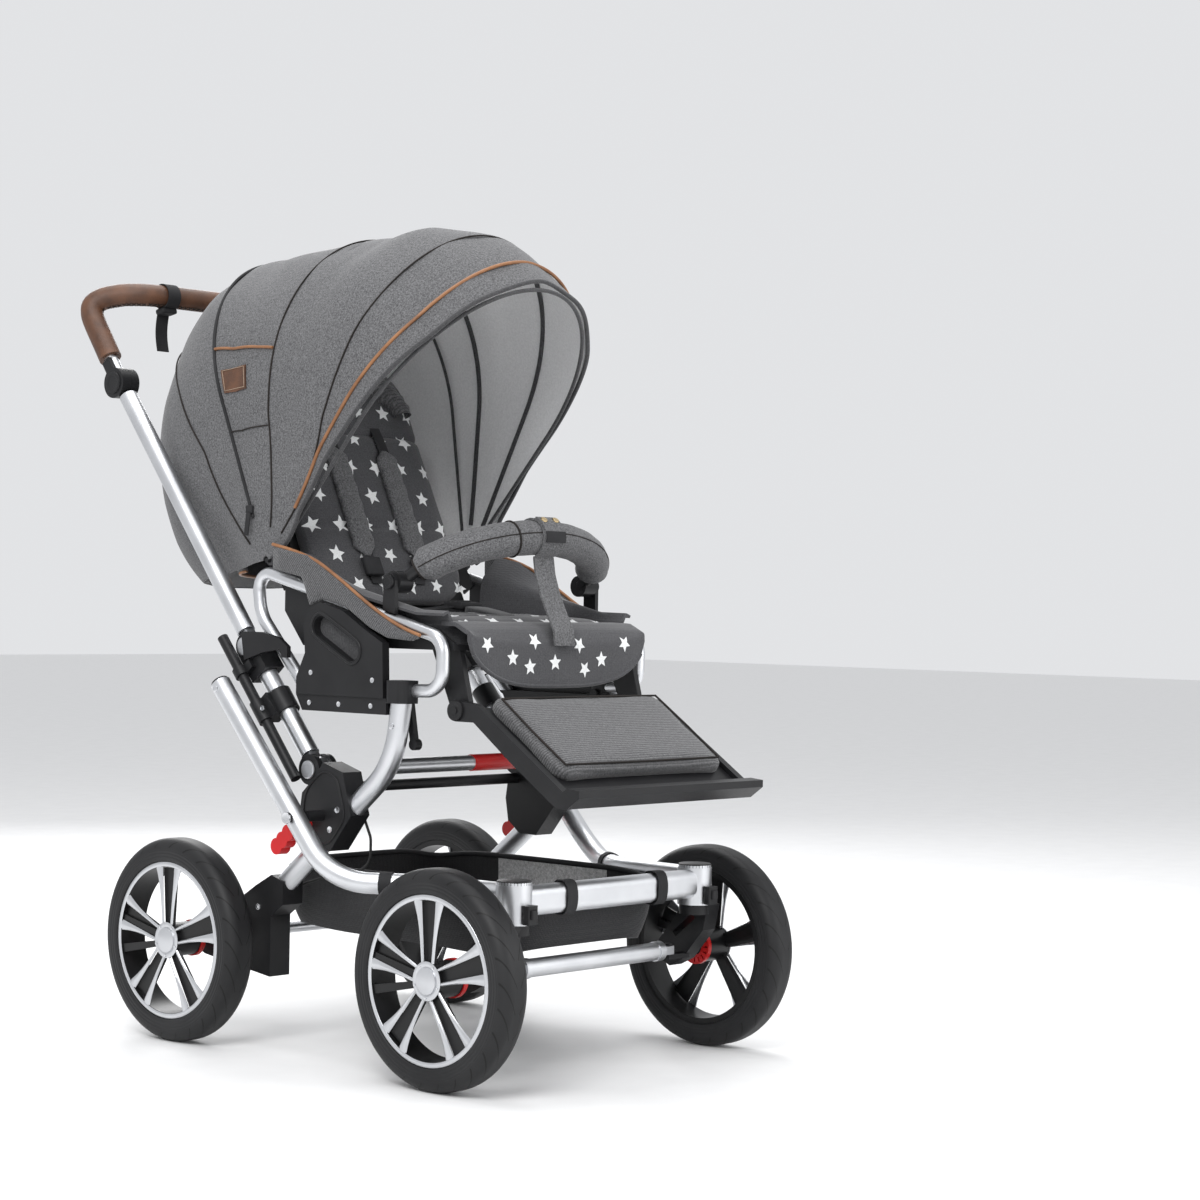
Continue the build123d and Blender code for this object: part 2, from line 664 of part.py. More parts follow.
with BuildPart() as handle_hubs:
    for word, side in SIDES:
        disc(handle_hinge, joint_radius, joint_split + clearance, joint_split + 17, side)
        bar(handle_hinge, between(handle_hinge, handle_corner, tube_start + 18), 9,
            joint_split + clearance, joint_split + 14, side)
        disc(handle_hinge, 6 + shaft_gap, joint_split + clearance, joint_split + 14, side, Mode.SUBTRACT)
    add(pipe(handle_points(), handle_bends, 11), mode=Mode.SUBTRACT)
finish(handle_hubs.part, "handle_hubs")

with BuildPart() as handle_grip:
    add(pipe(handle_points(), handle_bends, grip_radius, 11))
    for side in (1, -1):
        with Locations((side * leg_x, *handle_hinge)):
            Sphere(joint_radius + 26, mode=Mode.SUBTRACT)
finish(handle_grip.part, "handle_grip")

# Wrist strap: a buckled band that follows the grip's bend, with its tail hanging
strap_middle = -109.0
with BuildPart() as handle_strap:
    with Locations((strap_middle, crossbar_handle_y, handle_height)):
        Box(26, 80, 80)
    add(pipe(handle_points(), handle_bends, grip_radius + 2.6, grip_radius + clearance), mode=Mode.INTERSECT)
    with Locations((strap_middle, crossbar_handle_y + 2, handle_height - grip_radius - 6.4)):
        Box(30, 22, 8)
    with Locations((strap_middle, crossbar_handle_y + 8, handle_height - grip_radius - 40)):
        Box(24, 3, 62)
finish(handle_strap.part, "handle_strap")

# ---------------------------------------------------------------- seat
seat_floor = 590.0
tub_front = -206.0
tub_rear = 108.0
with BuildPart() as seat_tub:
    with Locations((0, (tub_front + tub_rear) / 2, seat_floor + 4)):
        Box(2 * seat_half_width, tub_rear - tub_front, 8)
    for word, side in SIDES:
        wall_outline = ((tub_front, seat_floor), (tub_rear, seat_floor), (150, 640), (150, 690), (100, 678),
                        (-170, 620), (tub_front, 600))
        plate(wall_outline, seat_half_width - seat_wall, seat_half_width, side)
        knee_outline = ((tub_front + 2, seat_floor + 1), (-150, seat_floor + 1), (-196, 494), (-224, 494),
                        (-224, 520))
        plate(knee_outline, seat_half_width - 22, seat_half_width - 13, side)
        disc(knee_hinge, 5, seat_half_width - 22, seat_half_width + 4, side)
        disc(recline_hinge, 5, seat_half_width - 20, seat_half_width, side)
        disc(canopy_hinge, 13, seat_half_width - 9, seat_half_width - seat_wall, side)
        bar((150, 676), canopy_hinge, 12, seat_half_width - 9, seat_half_width - seat_wall, side)
        disc(canopy_hinge, 3.5, seat_half_width - 9, seat_half_width + 16, side)
        bar(canopy_hinge, canopy_peg, 7, seat_half_width - 9, seat_half_width - seat_wall, side)
        disc(canopy_peg, 4, seat_half_width - 9, seat_half_width, side)
        for y in (-120, 110):
            z = 606 + (y + 196) * (702 - 606) / (201 + 196)
            disc((y, z), 3, seat_half_width - 3, spring_x - spring_radius - 0.3, side)
finish(seat_tub.part, "seat_tub")

cushion_outline = (
    (100, seat_floor + 8.3), (100, 628), (-198, 622), (-220, 606), (-225, 574), (-214, 574), (-211, 594),
    (tub_front - 0.3, seat_floor + 8.3),
)
with BuildPart() as seat_cushion:
    plate(cushion_outline, 0, seat_half_width - seat_wall - 1, 1)
    plate(cushion_outline, 0, seat_half_width - seat_wall - 1, -1)
finish(seat_cushion.part, "seat_cushion")

# Backrest: board and pad, drawn in a plane that leans with the board
back_angle = 64.0
back_length = 465.0
back_up = Vector(0, cos(radians(back_angle)), sin(radians(back_angle)))
back_plane = Plane(origin=(0, *recline_hinge), x_dir=(1, 0, 0), z_dir=Vector(0, -back_up.Z, back_up.Y))
back_half_width = seat_half_width - 31


def back_outline(inset, start):
    """Rounded top, straight foot; local y runs up the board."""
    width = 2 * (back_half_width - inset)
    height = back_length - inset - start
    with Locations((0, start + height / 2)):
        Rectangle(width, height)


with BuildPart() as backrest_board:
    with BuildSketch(back_plane.offset(-4)) as outline:
        back_outline(0, 14)
        fillet(outline.vertices().group_by(Axis.Y)[-1], 70)
    extrude(amount=8)
    for side in (1, -1):
        disc(recline_hinge, 12, back_half_width - 6, seat_half_width - 20 - clearance, side)
        bar(recline_hinge, (recline_hinge[0] + back_up.Y * 50, recline_hinge[1] + back_up.Z * 50), 4,
            back_half_width - 6, back_half_width, side)
        disc(recline_hinge, 5 + shaft_gap, back_half_width - 7, seat_half_width, side, Mode.SUBTRACT)
finish(backrest_board.part, "backrest_board")

with BuildPart() as backrest_pad:
    with BuildSketch(back_plane.offset(4.3)) as outline:
        back_outline(4, 26)
        fillet(outline.vertices().group_by(Axis.Y)[-1], 66)
    extrude(amount=28)
    with BuildSketch(back_plane.offset(32)):
        with Locations((0, 405)):
            RectangleRounded(2 * back_half_width - 68, 90, 40)
            RectangleRounded(150, 60, 20, mode=Mode.SUBTRACT)
    extrude(amount=26)
finish(backrest_pad.part, "backrest_pad")

with BuildPart() as shoulder_straps:
    for side in (1, -1):
        with BuildSketch(back_plane.offset(32.6)):
            with Locations((side * 50, 195)):
                RectangleRounded(44, 190, 18)
        extrude(amount=9)
        with BuildSketch(back_plane.offset(32.6)):
            with Locations((side * 50, 84)):
                RectangleRounded(34, 30, 5)
        extrude(amount=12)
finish(shoulder_straps.part, "shoulder_straps")

with BuildPart() as waist_harness:
    with BuildSketch(Plane.XY.offset(626.3)):
        with Locations((0, -30)):
            RectangleRounded(46, 56, 12)
    extrude(amount=9)
    with BuildSketch(Plane.XY.offset(627.2)):
        with Locations((-90, 30), (90, 30)):
            Rectangle(130, 24)
    extrude(amount=5)
finish(waist_harness.part, "waist_harness")

# ---------------------------------------------------------------- seat wings
wing_inner = spring_x + spring_radius + clearance
wing_outline = (
    (150, 700), (150, 742), (60, 734), (0, 702), (-66, 657), (-125, 624), (-165, 609), (-150, 600), (-101, 604),
    (-64, 618), (-14, 646), (36, 657), (64, 646), (80, 690),
)
with BuildPart() as seat_wings:
    for word, side in SIDES:
        plate(wing_outline, wing_inner, wing_inner + 12, side)
finish(seat_wings.part, "seat_wings")

# ---------------------------------------------------------------- bumper bar
bumper_reach = 113.0
bumper_lift = 37.0
bumper_dir = Vector(0, -cos(radians(bumper_lift)), sin(radians(bumper_lift)))
bumper_plane = Plane(origin=(0, *bumper_hinge), x_dir=(1, 0, 0), z_dir=Vector(1, 0, 0).cross(bumper_dir))
bumper_half = 186.0
sleeve_radius = 26.0


def bumper_rod(radius, first, last, bore=0.0):
    """Round bar along part of the half ellipse that the bumper follows."""
    with BuildPart() as rod:
        with BuildLine(bumper_plane) as route:
            EllipticalCenterArc((0, 0), bumper_half, bumper_reach, start_angle=first, arc_size=last - first)
        with BuildSketch(Plane(origin=route.line @ 0, z_dir=route.line % 0)):
            Circle(radius)
            if bore:
                Circle(bore, mode=Mode.SUBTRACT)
        sweep()
    return rod.part


with BuildPart() as bumper_mounts:
    for word, side in SIDES:
        top_z = 606 + (bumper_hinge[0] + 196) * (702 - 606) / (201 + 196) + spring_radius
        plate(((bumper_hinge[0] - 12, top_z - 1.5), (bumper_hinge[0] + 12, top_z + 3.5),
               (bumper_hinge[0] + 12, bumper_hinge[1]), (bumper_hinge[0] - 12, bumper_hinge[1])),
              spring_x + 1, spring_x + 8, side)
        disc(bumper_hinge, 12, spring_x + 1, spring_x + 8, side)
        disc(bumper_hinge, 5 + shaft_gap, spring_x + 1, spring_x + 8, side, Mode.SUBTRACT)
        add(pipe(at_side(spring_points, spring_x, side), spring_bends, spring_radius), mode=Mode.SUBTRACT)
finish(bumper_mounts.part, "bumper_mounts")

with BuildPart() as bumper_bar:
    add(bumper_rod(9, 0, 180))
    for word, side in SIDES:
        disc(bumper_hinge, 16, spring_x - 25, spring_x + 1 - clearance, side)
        disc(bumper_hinge, 5, spring_x, spring_x + 9, side)
finish(bumper_bar.part, "bumper_bar")

with BuildPart() as bumper_sleeve:
    add(bumper_rod(sleeve_radius, 16, 164, 9))
finish(bumper_sleeve.part, "bumper_sleeve")

# ---------------------------------------------------------------- footrest
arm_inner = seat_half_width - 12.5
arm_outer = seat_half_width - 0.5
arm_outline = (
    (-212, 521), (-250, 517), (-321, 470), (-424, 402), (-424, 384), (-404, 384), (-316, 442), (-246, 492),
    (-212, 492),
)
with BuildPart() as footrest_frame:
    for word, side in SIDES:
        plate(arm_outline, arm_inner, arm_outer, side)
        disc(knee_hinge, 15, arm_inner, arm_outer, side)
        disc(knee_hinge, 5 + shaft_gap, arm_inner, arm_outer, side, Mode.SUBTRACT)
    with BuildSketch(side_plane(-arm_outer)):
        with BuildLine():
            Polyline((-404, 384), (-424, 384), (-446, 400), (-446, 410), (-424, 412), (-404, 400), close=True)
        make_face()
    extrude(amount=2 * arm_outer)
    with BuildSketch(side_plane(-arm_inner)):
        with BuildLine():
            Polyline((-250, 512), (-410, 402), (-410, 397), (-250, 507), close=True)
        make_face()
    extrude(amount=2 * arm_inner)
finish(footrest_frame.part, "footrest_frame")

with BuildPart() as footrest_pad:
    with BuildSketch(side_plane(-(arm_inner - 4))):
        with BuildLine():
            Polyline((-252, 511), (-238, 534), (-392, 428), (-404, 406.5), close=True)
        make_face()
    extrude(amount=2 * (arm_inner - 4))
finish(footrest_pad.part, "footrest_pad")

# ---------------------------------------------------------------- canopy
# Each section lies in a plane through the canopy hinge line, at an angle from the rear (+Y).
# It has a reach from the hinge line and a half width, which is wider or narrower than the seat.
canopy_widening = {-8: -27, 15: -11, 38: 6, 60: 17, 82: 20, 100: 20, 116: 18, 132: 13}
canopy_reach = {-8: 300, 15: 415, 38: 488, 60: 526, 82: 490, 100: 495, 116: 541, 132: 539}
canopy_sections = {
    angle: (reach, seat_half_width + canopy_widening[angle]) for angle, reach in canopy_reach.items()
}
canopy_foot = 42.0


def canopy_plane(angle):
    """Plane through the hinge line: local x along X, local y away from the hinge."""
    direction = Vector(0, cos(radians(angle)), sin(radians(angle)))
    return Plane(origin=(0, *canopy_hinge), x_dir=(1, 0, 0), z_dir=Vector(1, 0, 0).cross(direction))


def canopy_arch(reach, half_width, foot):
    """Straight sides that run into half an ellipse over the top."""
    shoulder = reach * 0.5
    Line((half_width, foot), (half_width, shoulder))
    EllipticalCenterArc((0, shoulder), half_width, reach - shoulder, start_angle=0, arc_size=180)
    Line((-half_width, shoulder), (-half_width, foot))


def canopy_shell(angles, label):
    with BuildPart() as shell:
        for angle in angles:
            reach, half_width = canopy_sections[angle]
            with BuildSketch(canopy_plane(angle)):
                with BuildLine():
                    canopy_arch(reach, half_width, canopy_foot)
                    Line((-half_width, canopy_foot), (-half_width + canopy_wall, canopy_foot))
                    canopy_arch(reach - canopy_wall, half_width - canopy_wall, canopy_foot)
                    Line((half_width, canopy_foot), (half_width - canopy_wall, canopy_foot))
                make_face()
        loft()
    finish(shell.part, label)


canopy_shell((-8, 15, 38, 60), "canopy_rear")
canopy_shell((60, 82, 100), "canopy_middle")
canopy_shell((100, 116, 132), "canopy_front")


def canopy_bow(angle, half_width, wire, label):
    """Wire hoop under the fabric, with a small hub at each end that is thinner than the wire."""
    reach = canopy_sections[angle][0] - canopy_wall - wire - clearance
    shoulder = reach * 0.5
    with BuildPart() as bow:
        with BuildLine(canopy_plane(angle)) as route:
            Line((half_width, 5), (half_width, shoulder))
            EllipticalCenterArc((0, shoulder), half_width, reach - shoulder, start_angle=0, arc_size=180)
            Line((-half_width, shoulder), (-half_width, 5))
        with BuildSketch(Plane(origin=route.line @ 0, z_dir=route.line % 0)):
            Circle(wire)
        sweep()
        for side in (1, -1):
            disc(canopy_hinge, 7.5, half_width - wire + 0.5, half_width + wire - 0.5, side)
            disc(canopy_hinge, 3.5 + shaft_gap, half_width - 4, half_width + 4, side, Mode.SUBTRACT)
    finish(bow.part, label)


canopy_bow(132, seat_half_width + 1.5, 3.0, "canopy_front_bow")
canopy_bow(82, seat_half_width + 7.6, 2.5, "canopy_middle_bow")
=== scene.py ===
# %% [markdown]
# # A baby stroller, from frame to stitching
# The real object is a folding cross frame on four big wheels that carries a sprung, padded seat.
# The frame comes from CAD and is never moved. This lesson gives every hard part its finish, adds the small
# fittings, and makes each soft part (hood, seat, bumper, footrest, basket, grip) as cloth, padding or leather.

# %% Load the frame
import json
from math import atan2, cos, pi, radians, sin, sqrt
import bpy
import numpy as np
from mathutils import Matrix, Vector

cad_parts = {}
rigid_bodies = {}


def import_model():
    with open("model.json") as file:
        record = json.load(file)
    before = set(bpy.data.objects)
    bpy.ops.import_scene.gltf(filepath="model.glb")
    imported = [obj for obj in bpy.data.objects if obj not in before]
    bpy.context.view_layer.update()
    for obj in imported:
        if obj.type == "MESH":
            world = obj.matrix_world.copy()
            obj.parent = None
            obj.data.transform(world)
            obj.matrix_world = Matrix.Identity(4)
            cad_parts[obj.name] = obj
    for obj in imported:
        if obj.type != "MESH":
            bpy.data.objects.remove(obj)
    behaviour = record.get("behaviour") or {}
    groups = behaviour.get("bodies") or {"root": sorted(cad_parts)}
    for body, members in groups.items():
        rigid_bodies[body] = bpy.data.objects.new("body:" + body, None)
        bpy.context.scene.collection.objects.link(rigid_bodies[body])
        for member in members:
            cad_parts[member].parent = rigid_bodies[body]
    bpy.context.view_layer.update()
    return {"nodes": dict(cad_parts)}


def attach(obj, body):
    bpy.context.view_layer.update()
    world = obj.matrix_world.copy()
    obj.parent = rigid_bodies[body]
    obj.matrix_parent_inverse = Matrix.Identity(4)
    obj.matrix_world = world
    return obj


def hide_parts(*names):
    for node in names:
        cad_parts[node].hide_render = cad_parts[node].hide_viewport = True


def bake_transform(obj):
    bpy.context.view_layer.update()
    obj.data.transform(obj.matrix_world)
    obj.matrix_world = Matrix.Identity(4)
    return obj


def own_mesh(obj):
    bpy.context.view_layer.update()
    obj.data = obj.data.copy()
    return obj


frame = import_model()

# %% [markdown]
# ## Camera, floor and light
# A long lens from the front right corner keeps the wheels nearly round. The light is a soft studio: one big
# panel over the camera's left, a weaker one opposite, and a pale room that fills the shadows.

# %% Camera
yaw, roll = radians(42.195), radians(1.024)
look = Vector((cos(yaw), sin(yaw), 0.0005)).normalized()
level = look.cross(Vector((0, 0, 1))).normalized()
upright = level.cross(look)
across = level * cos(roll) + upright * sin(roll)
above = upright * cos(roll) - level * sin(roll)
bpy.ops.object.camera_add(location=(-2.7524, -2.796, 0.6619))
camera = bpy.context.object
turned = Matrix((across, above, -look)).transposed().to_4x4()
camera.matrix_world = Matrix.Translation(camera.location) @ turned
camera.data.lens = 78.71
camera.data.sensor_width = 36
bpy.context.scene.camera = camera


# %% Lights and room
def panel_light(name, place, target, size, power):
    """A square soft box that faces its target."""
    bpy.ops.object.light_add(type="AREA", location=place)
    light = bpy.context.object
    light.name = name
    light.rotation_euler = (Vector(target) - Vector(place)).to_track_quat("-Z", "Y").to_euler()
    light.data.size = size
    light.data.energy = power


panel_light("key_light", (-2.6, -1.4, 2.9), (0, 0, 0.6), 1.8, 92)
panel_light("fill_light", (1.2, -3.2, 1.5), (0, 0, 0.5), 2.4, 40)
panel_light("top_light", (0.3, 0.6, 3.4), (0, 0, 0.6), 2.2, 55)
panel_light("back_light", (1.6, 2.6, 2.0), (0, 0, 0.7), 1.6, 40)
room = bpy.data.worlds.new("pale_room")
room.use_nodes = True
room.node_tree.nodes["Background"].inputs["Color"].default_value = (0.93, 0.94, 0.96, 1)
room.node_tree.nodes["Background"].inputs["Strength"].default_value = 0.82
bpy.context.scene.world = room
bpy.context.scene.view_settings.view_transform = "Standard"

# %% [markdown]
# ## Shader groups
# Two effects return on many finishes, so each is a node group made once: the fine grain of moulded plastic and
# powder coat, and the flecks and threads of woven cloth. A group gives only masks and heights. Each material
# keeps its own shader.

# %% Small helpers for node trees
def add_node(tree, kind, settings=None, **inputs):
    """Adds a node; settings are its own properties, inputs are values or links for its sockets.

    A socket is given by its name, with _ for a space, or by i and its number."""
    node = tree.nodes.new(kind)
    for key, value in (settings or {}).items():
        setattr(node, key, value)
    for key, value in inputs.items():
        numbered = key[0] == "i" and key[1:].isdigit()
        socket = node.inputs[int(key[1:]) if numbered else key.replace("_", " ")]
        if isinstance(value, bpy.types.NodeSocket):
            tree.links.new(value, socket)
        else:
            socket.default_value = value
    return node


def math(tree, operation, *values):
    node = add_node(tree, "ShaderNodeMath", {"operation": operation})
    for socket, value in zip(node.inputs, values):
        if isinstance(value, bpy.types.NodeSocket):
            tree.links.new(value, socket)
        else:
            socket.default_value = value
    return node.outputs[0]


def ramp(tree, factor, low, high, colours=None):
    """Maps factor from low..high to 0..1, or to two colours."""
    node = add_node(tree, "ShaderNodeValToRGB", Fac=factor)
    node.color_ramp.elements[0].position = low
    node.color_ramp.elements[1].position = high
    if colours:
        node.color_ramp.elements[0].color = (*colours[0], 1)
        node.color_ramp.elements[1].color = (*colours[1], 1)
    return node.outputs["Color"]


def new_group(name, inputs, outputs):
    """An empty node group with float inputs and named outputs."""
    tree = bpy.data.node_groups.new(name, "ShaderNodeTree")
    for label, value in inputs:
        socket = tree.interface.new_socket(label, in_out="INPUT", socket_type="NodeSocketFloat")
        socket.default_value = value
    for label, kind in outputs:
        tree.interface.new_socket(label, in_out="OUTPUT", socket_type=kind)
    return tree, tree.nodes.new("NodeGroupInput"), tree.nodes.new("NodeGroupOutput")


# %% Grain: fine bumps and a slow cloud of variation
FLOAT = "NodeSocketFloat"
grain, grain_in, grain_out = new_group(
    "grain", (("Scale", 900.0), ("Cloud", 14.0)), (("Height", FLOAT), ("Cloud", FLOAT)))
place = add_node(grain, "ShaderNodeTexCoord").outputs["Object"]
fine = add_node(grain, "ShaderNodeTexNoise", Vector=place, Scale=grain_in.outputs["Scale"], Detail=3.0)
slow = add_node(grain, "ShaderNodeTexNoise", Vector=place, Scale=grain_in.outputs["Cloud"], Detail=4.0)
grain.links.new(fine.outputs["Fac"], grain_out.inputs["Height"])
grain.links.new(slow.outputs["Fac"], grain_out.inputs["Cloud"])

# %% Cloth: flecks of mixed yarn over a plain weave
cloth, cloth_in, cloth_out = new_group(
    "cloth", (("Fleck scale", 420.0), ("Thread", 60.0)), (("Fleck", FLOAT), ("Height", FLOAT)))
place = add_node(cloth, "ShaderNodeTexCoord").outputs["Object"]
flecks = add_node(cloth, "ShaderNodeTexNoise", Vector=place, Scale=cloth_in.outputs["Fleck scale"],
                  Detail=5.0, Roughness=0.75)
threads = [
    add_node(cloth, "ShaderNodeTexWave", {"bands_direction": way}, Vector=place,
             Scale=cloth_in.outputs["Thread"], Distortion=1.5, Detail=1.0).outputs["Fac"]
    for way in ("Z", "Y", "X")
]
weave = math(cloth, "ADD", math(cloth, "ADD", threads[0], threads[1]), threads[2])
cloth.links.new(flecks.outputs["Fac"], cloth_out.inputs["Fleck"])
cloth.links.new(math(cloth, "MULTIPLY_ADD", weave, 0.2, math(cloth, "MULTIPLY", flecks.outputs["Fac"], 0.6)),
                cloth_out.inputs["Height"])
print("groups", [group.name for group in bpy.data.node_groups])

# %% [markdown]
# ## Hard finishes
# Plastic is nearly black with a fine grain, so its highlights are broad. The tubes are satin anodised
# aluminium: metallic, with a faint lengthwise unevenness. Steel is brighter and smoother.

# %% A material with a shader, base colours, roughness and grain
def hard_finish(name, dark, light, roughness, metallic=0.0, scale=900.0, bump=0.08, coat=0.0, cloud=14.0,
                specular=0.28):
    material = bpy.data.materials.new(name)
    material.use_nodes = True
    tree = material.node_tree
    shader = tree.nodes["Principled BSDF"]
    effect = add_node(tree, "ShaderNodeGroup", {"node_tree": grain}, Scale=scale, Cloud=cloud)
    tree.links.new(ramp(tree, effect.outputs["Cloud"], 0.3, 0.7, (dark, light)), shader.inputs["Base Color"])
    spread = add_node(tree, "ShaderNodeMapRange", Value=effect.outputs["Cloud"],
                      i3=roughness - 0.06, i4=roughness + 0.06)
    tree.links.new(spread.outputs["Result"], shader.inputs["Roughness"])
    dents = add_node(tree, "ShaderNodeBump", Strength=bump, Distance=0.0004, Height=effect.outputs["Height"])
    tree.links.new(dents.outputs["Normal"], shader.inputs["Normal"])
    shader.inputs["Metallic"].default_value = metallic
    shader.inputs["Coat Weight"].default_value = coat
    shader.inputs["Specular IOR Level"].default_value = specular
    return material


black_plastic = hard_finish("black_plastic", (0.008, 0.008, 0.009), (0.014, 0.014, 0.015), 0.42, bump=0.25)
rim_plastic = hard_finish("rim_plastic", (0.006, 0.006, 0.006), (0.011, 0.011, 0.012), 0.36, bump=0.15)
red_plastic = hard_finish("red_plastic", (0.50, 0.012, 0.015), (0.62, 0.022, 0.02), 0.35, bump=0.15)
silver_tube = hard_finish("silver_tube", (0.60, 0.61, 0.63), (0.70, 0.71, 0.73), 0.36, 1.0, 1600.0, 0.05)
steel = hard_finish("steel", (0.62, 0.63, 0.65), (0.74, 0.75, 0.77), 0.22, 1.0, 1200.0, 0.04)
silver_paint = hard_finish("silver_paint", (0.52, 0.53, 0.55), (0.60, 0.61, 0.63), 0.33, 0.85, 1400.0, 0.05,
                           0.2)
black_metal = hard_finish("black_metal", (0.015, 0.015, 0.016), (0.024, 0.024, 0.025), 0.30, 0.2, 1200.0, 0.1)
brass = hard_finish("brass", (0.55, 0.42, 0.22), (0.65, 0.5, 0.28), 0.3, 1.0, 1200.0, 0.04)
cable_rubber = hard_finish("cable_rubber", (0.010, 0.010, 0.010), (0.016, 0.016, 0.016), 0.5, bump=0.1)
web_black = hard_finish("web_black", (0.012, 0.012, 0.013), (0.026, 0.026, 0.028), 0.75, scale=700.0,
                        bump=0.5)
print(len(bpy.data.materials), "materials")

# %% Floor
floor_paint = hard_finish("floor_paint", (0.80, 0.80, 0.80), (0.83, 0.83, 0.83), 0.7, scale=60.0, bump=0.02)
bpy.ops.object.select_all(action="DESELECT")
bpy.ops.mesh.primitive_plane_add(size=40, location=(0, 0, 0))
floor = bpy.context.object
floor.name = "floor"
floor.data.materials.append(floor_paint)

# %% [markdown]
# ## Cloth finishes
# The hood and bumper are a mid-grey melange: light and dark yarns mixed, so the colour is in the flecks.
# The hood is lined pale, the side wings are a ribbed twill, and the basket is a black net with a pale panel
# inside. A little sheen gives cloth its soft edge.

# %% A cloth material
def cloth_finish(name, dark, light, fleck=420.0, thread=60.0, bump=0.5, ribs=None, sheen=0.25):
    """ribs is (pitch in metres, direction vector, depth of painted shade) for cloth with raised diagonal ribs;
    the grooves between the ribs are darkened in the colour as painted shade.
    """
    material = bpy.data.materials.new(name)
    material.use_nodes = True
    tree = material.node_tree
    shader = tree.nodes["Principled BSDF"]
    effect = add_node(tree, "ShaderNodeGroup", {"node_tree": cloth}, Fleck_scale=fleck, Thread=thread)
    colour = ramp(tree, effect.outputs["Fleck"], 0.32, 0.68, (dark, light))
    height = effect.outputs["Height"]
    if ribs:
        pitch, way, shade = ribs
        spot = add_node(tree, "ShaderNodeTexCoord").outputs["Object"]
        along = add_node(tree, "ShaderNodeVectorMath", {"operation": "DOT_PRODUCT"}, i0=spot,
                         i1=Vector(way).normalized())
        wave = math(tree, "SINE", math(tree, "MULTIPLY", along.outputs["Value"], 2 * pi / pitch))
        crest = math(tree, "MULTIPLY_ADD", wave, 0.5, 0.5)
        # Painted shade: the colour is darkened in the grooves between the ribs, on top of the bump.
        mix = add_node(tree, "ShaderNodeMix", {"data_type": "RGBA", "blend_type": "MULTIPLY"}, Factor=shade)
        tree.links.new(colour, mix.inputs[6])
        tree.links.new(ramp(tree, crest, 0.05, 0.6, ((0.25, 0.25, 0.25), (1, 1, 1))), mix.inputs[7])
        colour = mix.outputs[2]
        height = math(tree, "MULTIPLY_ADD", crest, 1.6, height)
    tree.links.new(colour, shader.inputs["Base Color"])
    dents = add_node(tree, "ShaderNodeBump", Strength=bump, Distance=0.0008, Height=height)
    tree.links.new(dents.outputs["Normal"], shader.inputs["Normal"])
    shader.inputs["Roughness"].default_value = 0.9
    shader.inputs["Sheen Weight"].default_value = sheen
    shader.inputs["Specular IOR Level"].default_value = 0.25
    return material


melange = cloth_finish("melange", (0.022, 0.022, 0.024), (0.185, 0.185, 0.19), sheen=0.12)
lining = cloth_finish("lining", (0.70, 0.70, 0.705), (0.86, 0.86, 0.865), 300.0, 70.0, 0.3)
charcoal = cloth_finish("charcoal", (0.022, 0.022, 0.024), (0.075, 0.075, 0.078))
twill = cloth_finish("twill", (0.024, 0.024, 0.026), (0.15, 0.15, 0.155), ribs=(0.0034, (0, 0.75, 0.66), 0.6))
liner = cloth_finish("liner", (0.028, 0.028, 0.031), (0.085, 0.085, 0.09), 600.0, 90.0, 0.4)
ribbed_pad = cloth_finish("ribbed_pad", (0.035, 0.035, 0.037), (0.17, 0.17, 0.175),
                          ribs=(0.0040, (0, 0.82, 0.57), 0.5))
net = cloth_finish("net", (0.006, 0.006, 0.007), (0.03, 0.03, 0.032), 900.0, 110.0, 0.8)
pale_net = cloth_finish("pale_net", (0.25, 0.25, 0.25), (0.70, 0.70, 0.70), 260.0, 110.0, 0.6)
star_print = cloth_finish("star_print", (0.62, 0.63, 0.63), (0.84, 0.85, 0.85), 600.0, 90.0, 0.3)


# %% Leather
def leather_finish(name, dark, light):
    material = bpy.data.materials.new(name)
    material.use_nodes = True
    tree = material.node_tree
    shader = tree.nodes["Principled BSDF"]
    spot = add_node(tree, "ShaderNodeTexCoord").outputs["Object"]
    pores = add_node(tree, "ShaderNodeTexVoronoi", {"feature": "DISTANCE_TO_EDGE"}, Vector=spot, Scale=520.0)
    cloud = add_node(tree, "ShaderNodeTexNoise", Vector=spot, Scale=38.0, Detail=5.0)
    tree.links.new(ramp(tree, cloud.outputs["Fac"], 0.3, 0.7, (dark, light)), shader.inputs["Base Color"])
    creases = ramp(tree, pores.outputs["Distance"], 0.0, 0.35)
    dents = add_node(tree, "ShaderNodeBump", Strength=0.35, Distance=0.0005, Height=creases)
    tree.links.new(dents.outputs["Normal"], shader.inputs["Normal"])
    worn = add_node(tree, "ShaderNodeMapRange", Value=cloud.outputs["Fac"], i3=0.38, i4=0.6)
    tree.links.new(worn.outputs["Result"], shader.inputs["Roughness"])
    return material


brown_leather = leather_finish("brown_leather", (0.055, 0.022, 0.010), (0.125, 0.052, 0.024))
piping_leather = leather_finish("piping_leather", (0.18, 0.075, 0.028), (0.30, 0.135, 0.055))
thread_dark = hard_finish("thread_dark", (0.012, 0.010, 0.009), (0.02, 0.016, 0.014), 0.8)
thread_pale = hard_finish("thread_pale", (0.30, 0.22, 0.16), (0.40, 0.30, 0.22), 0.8)


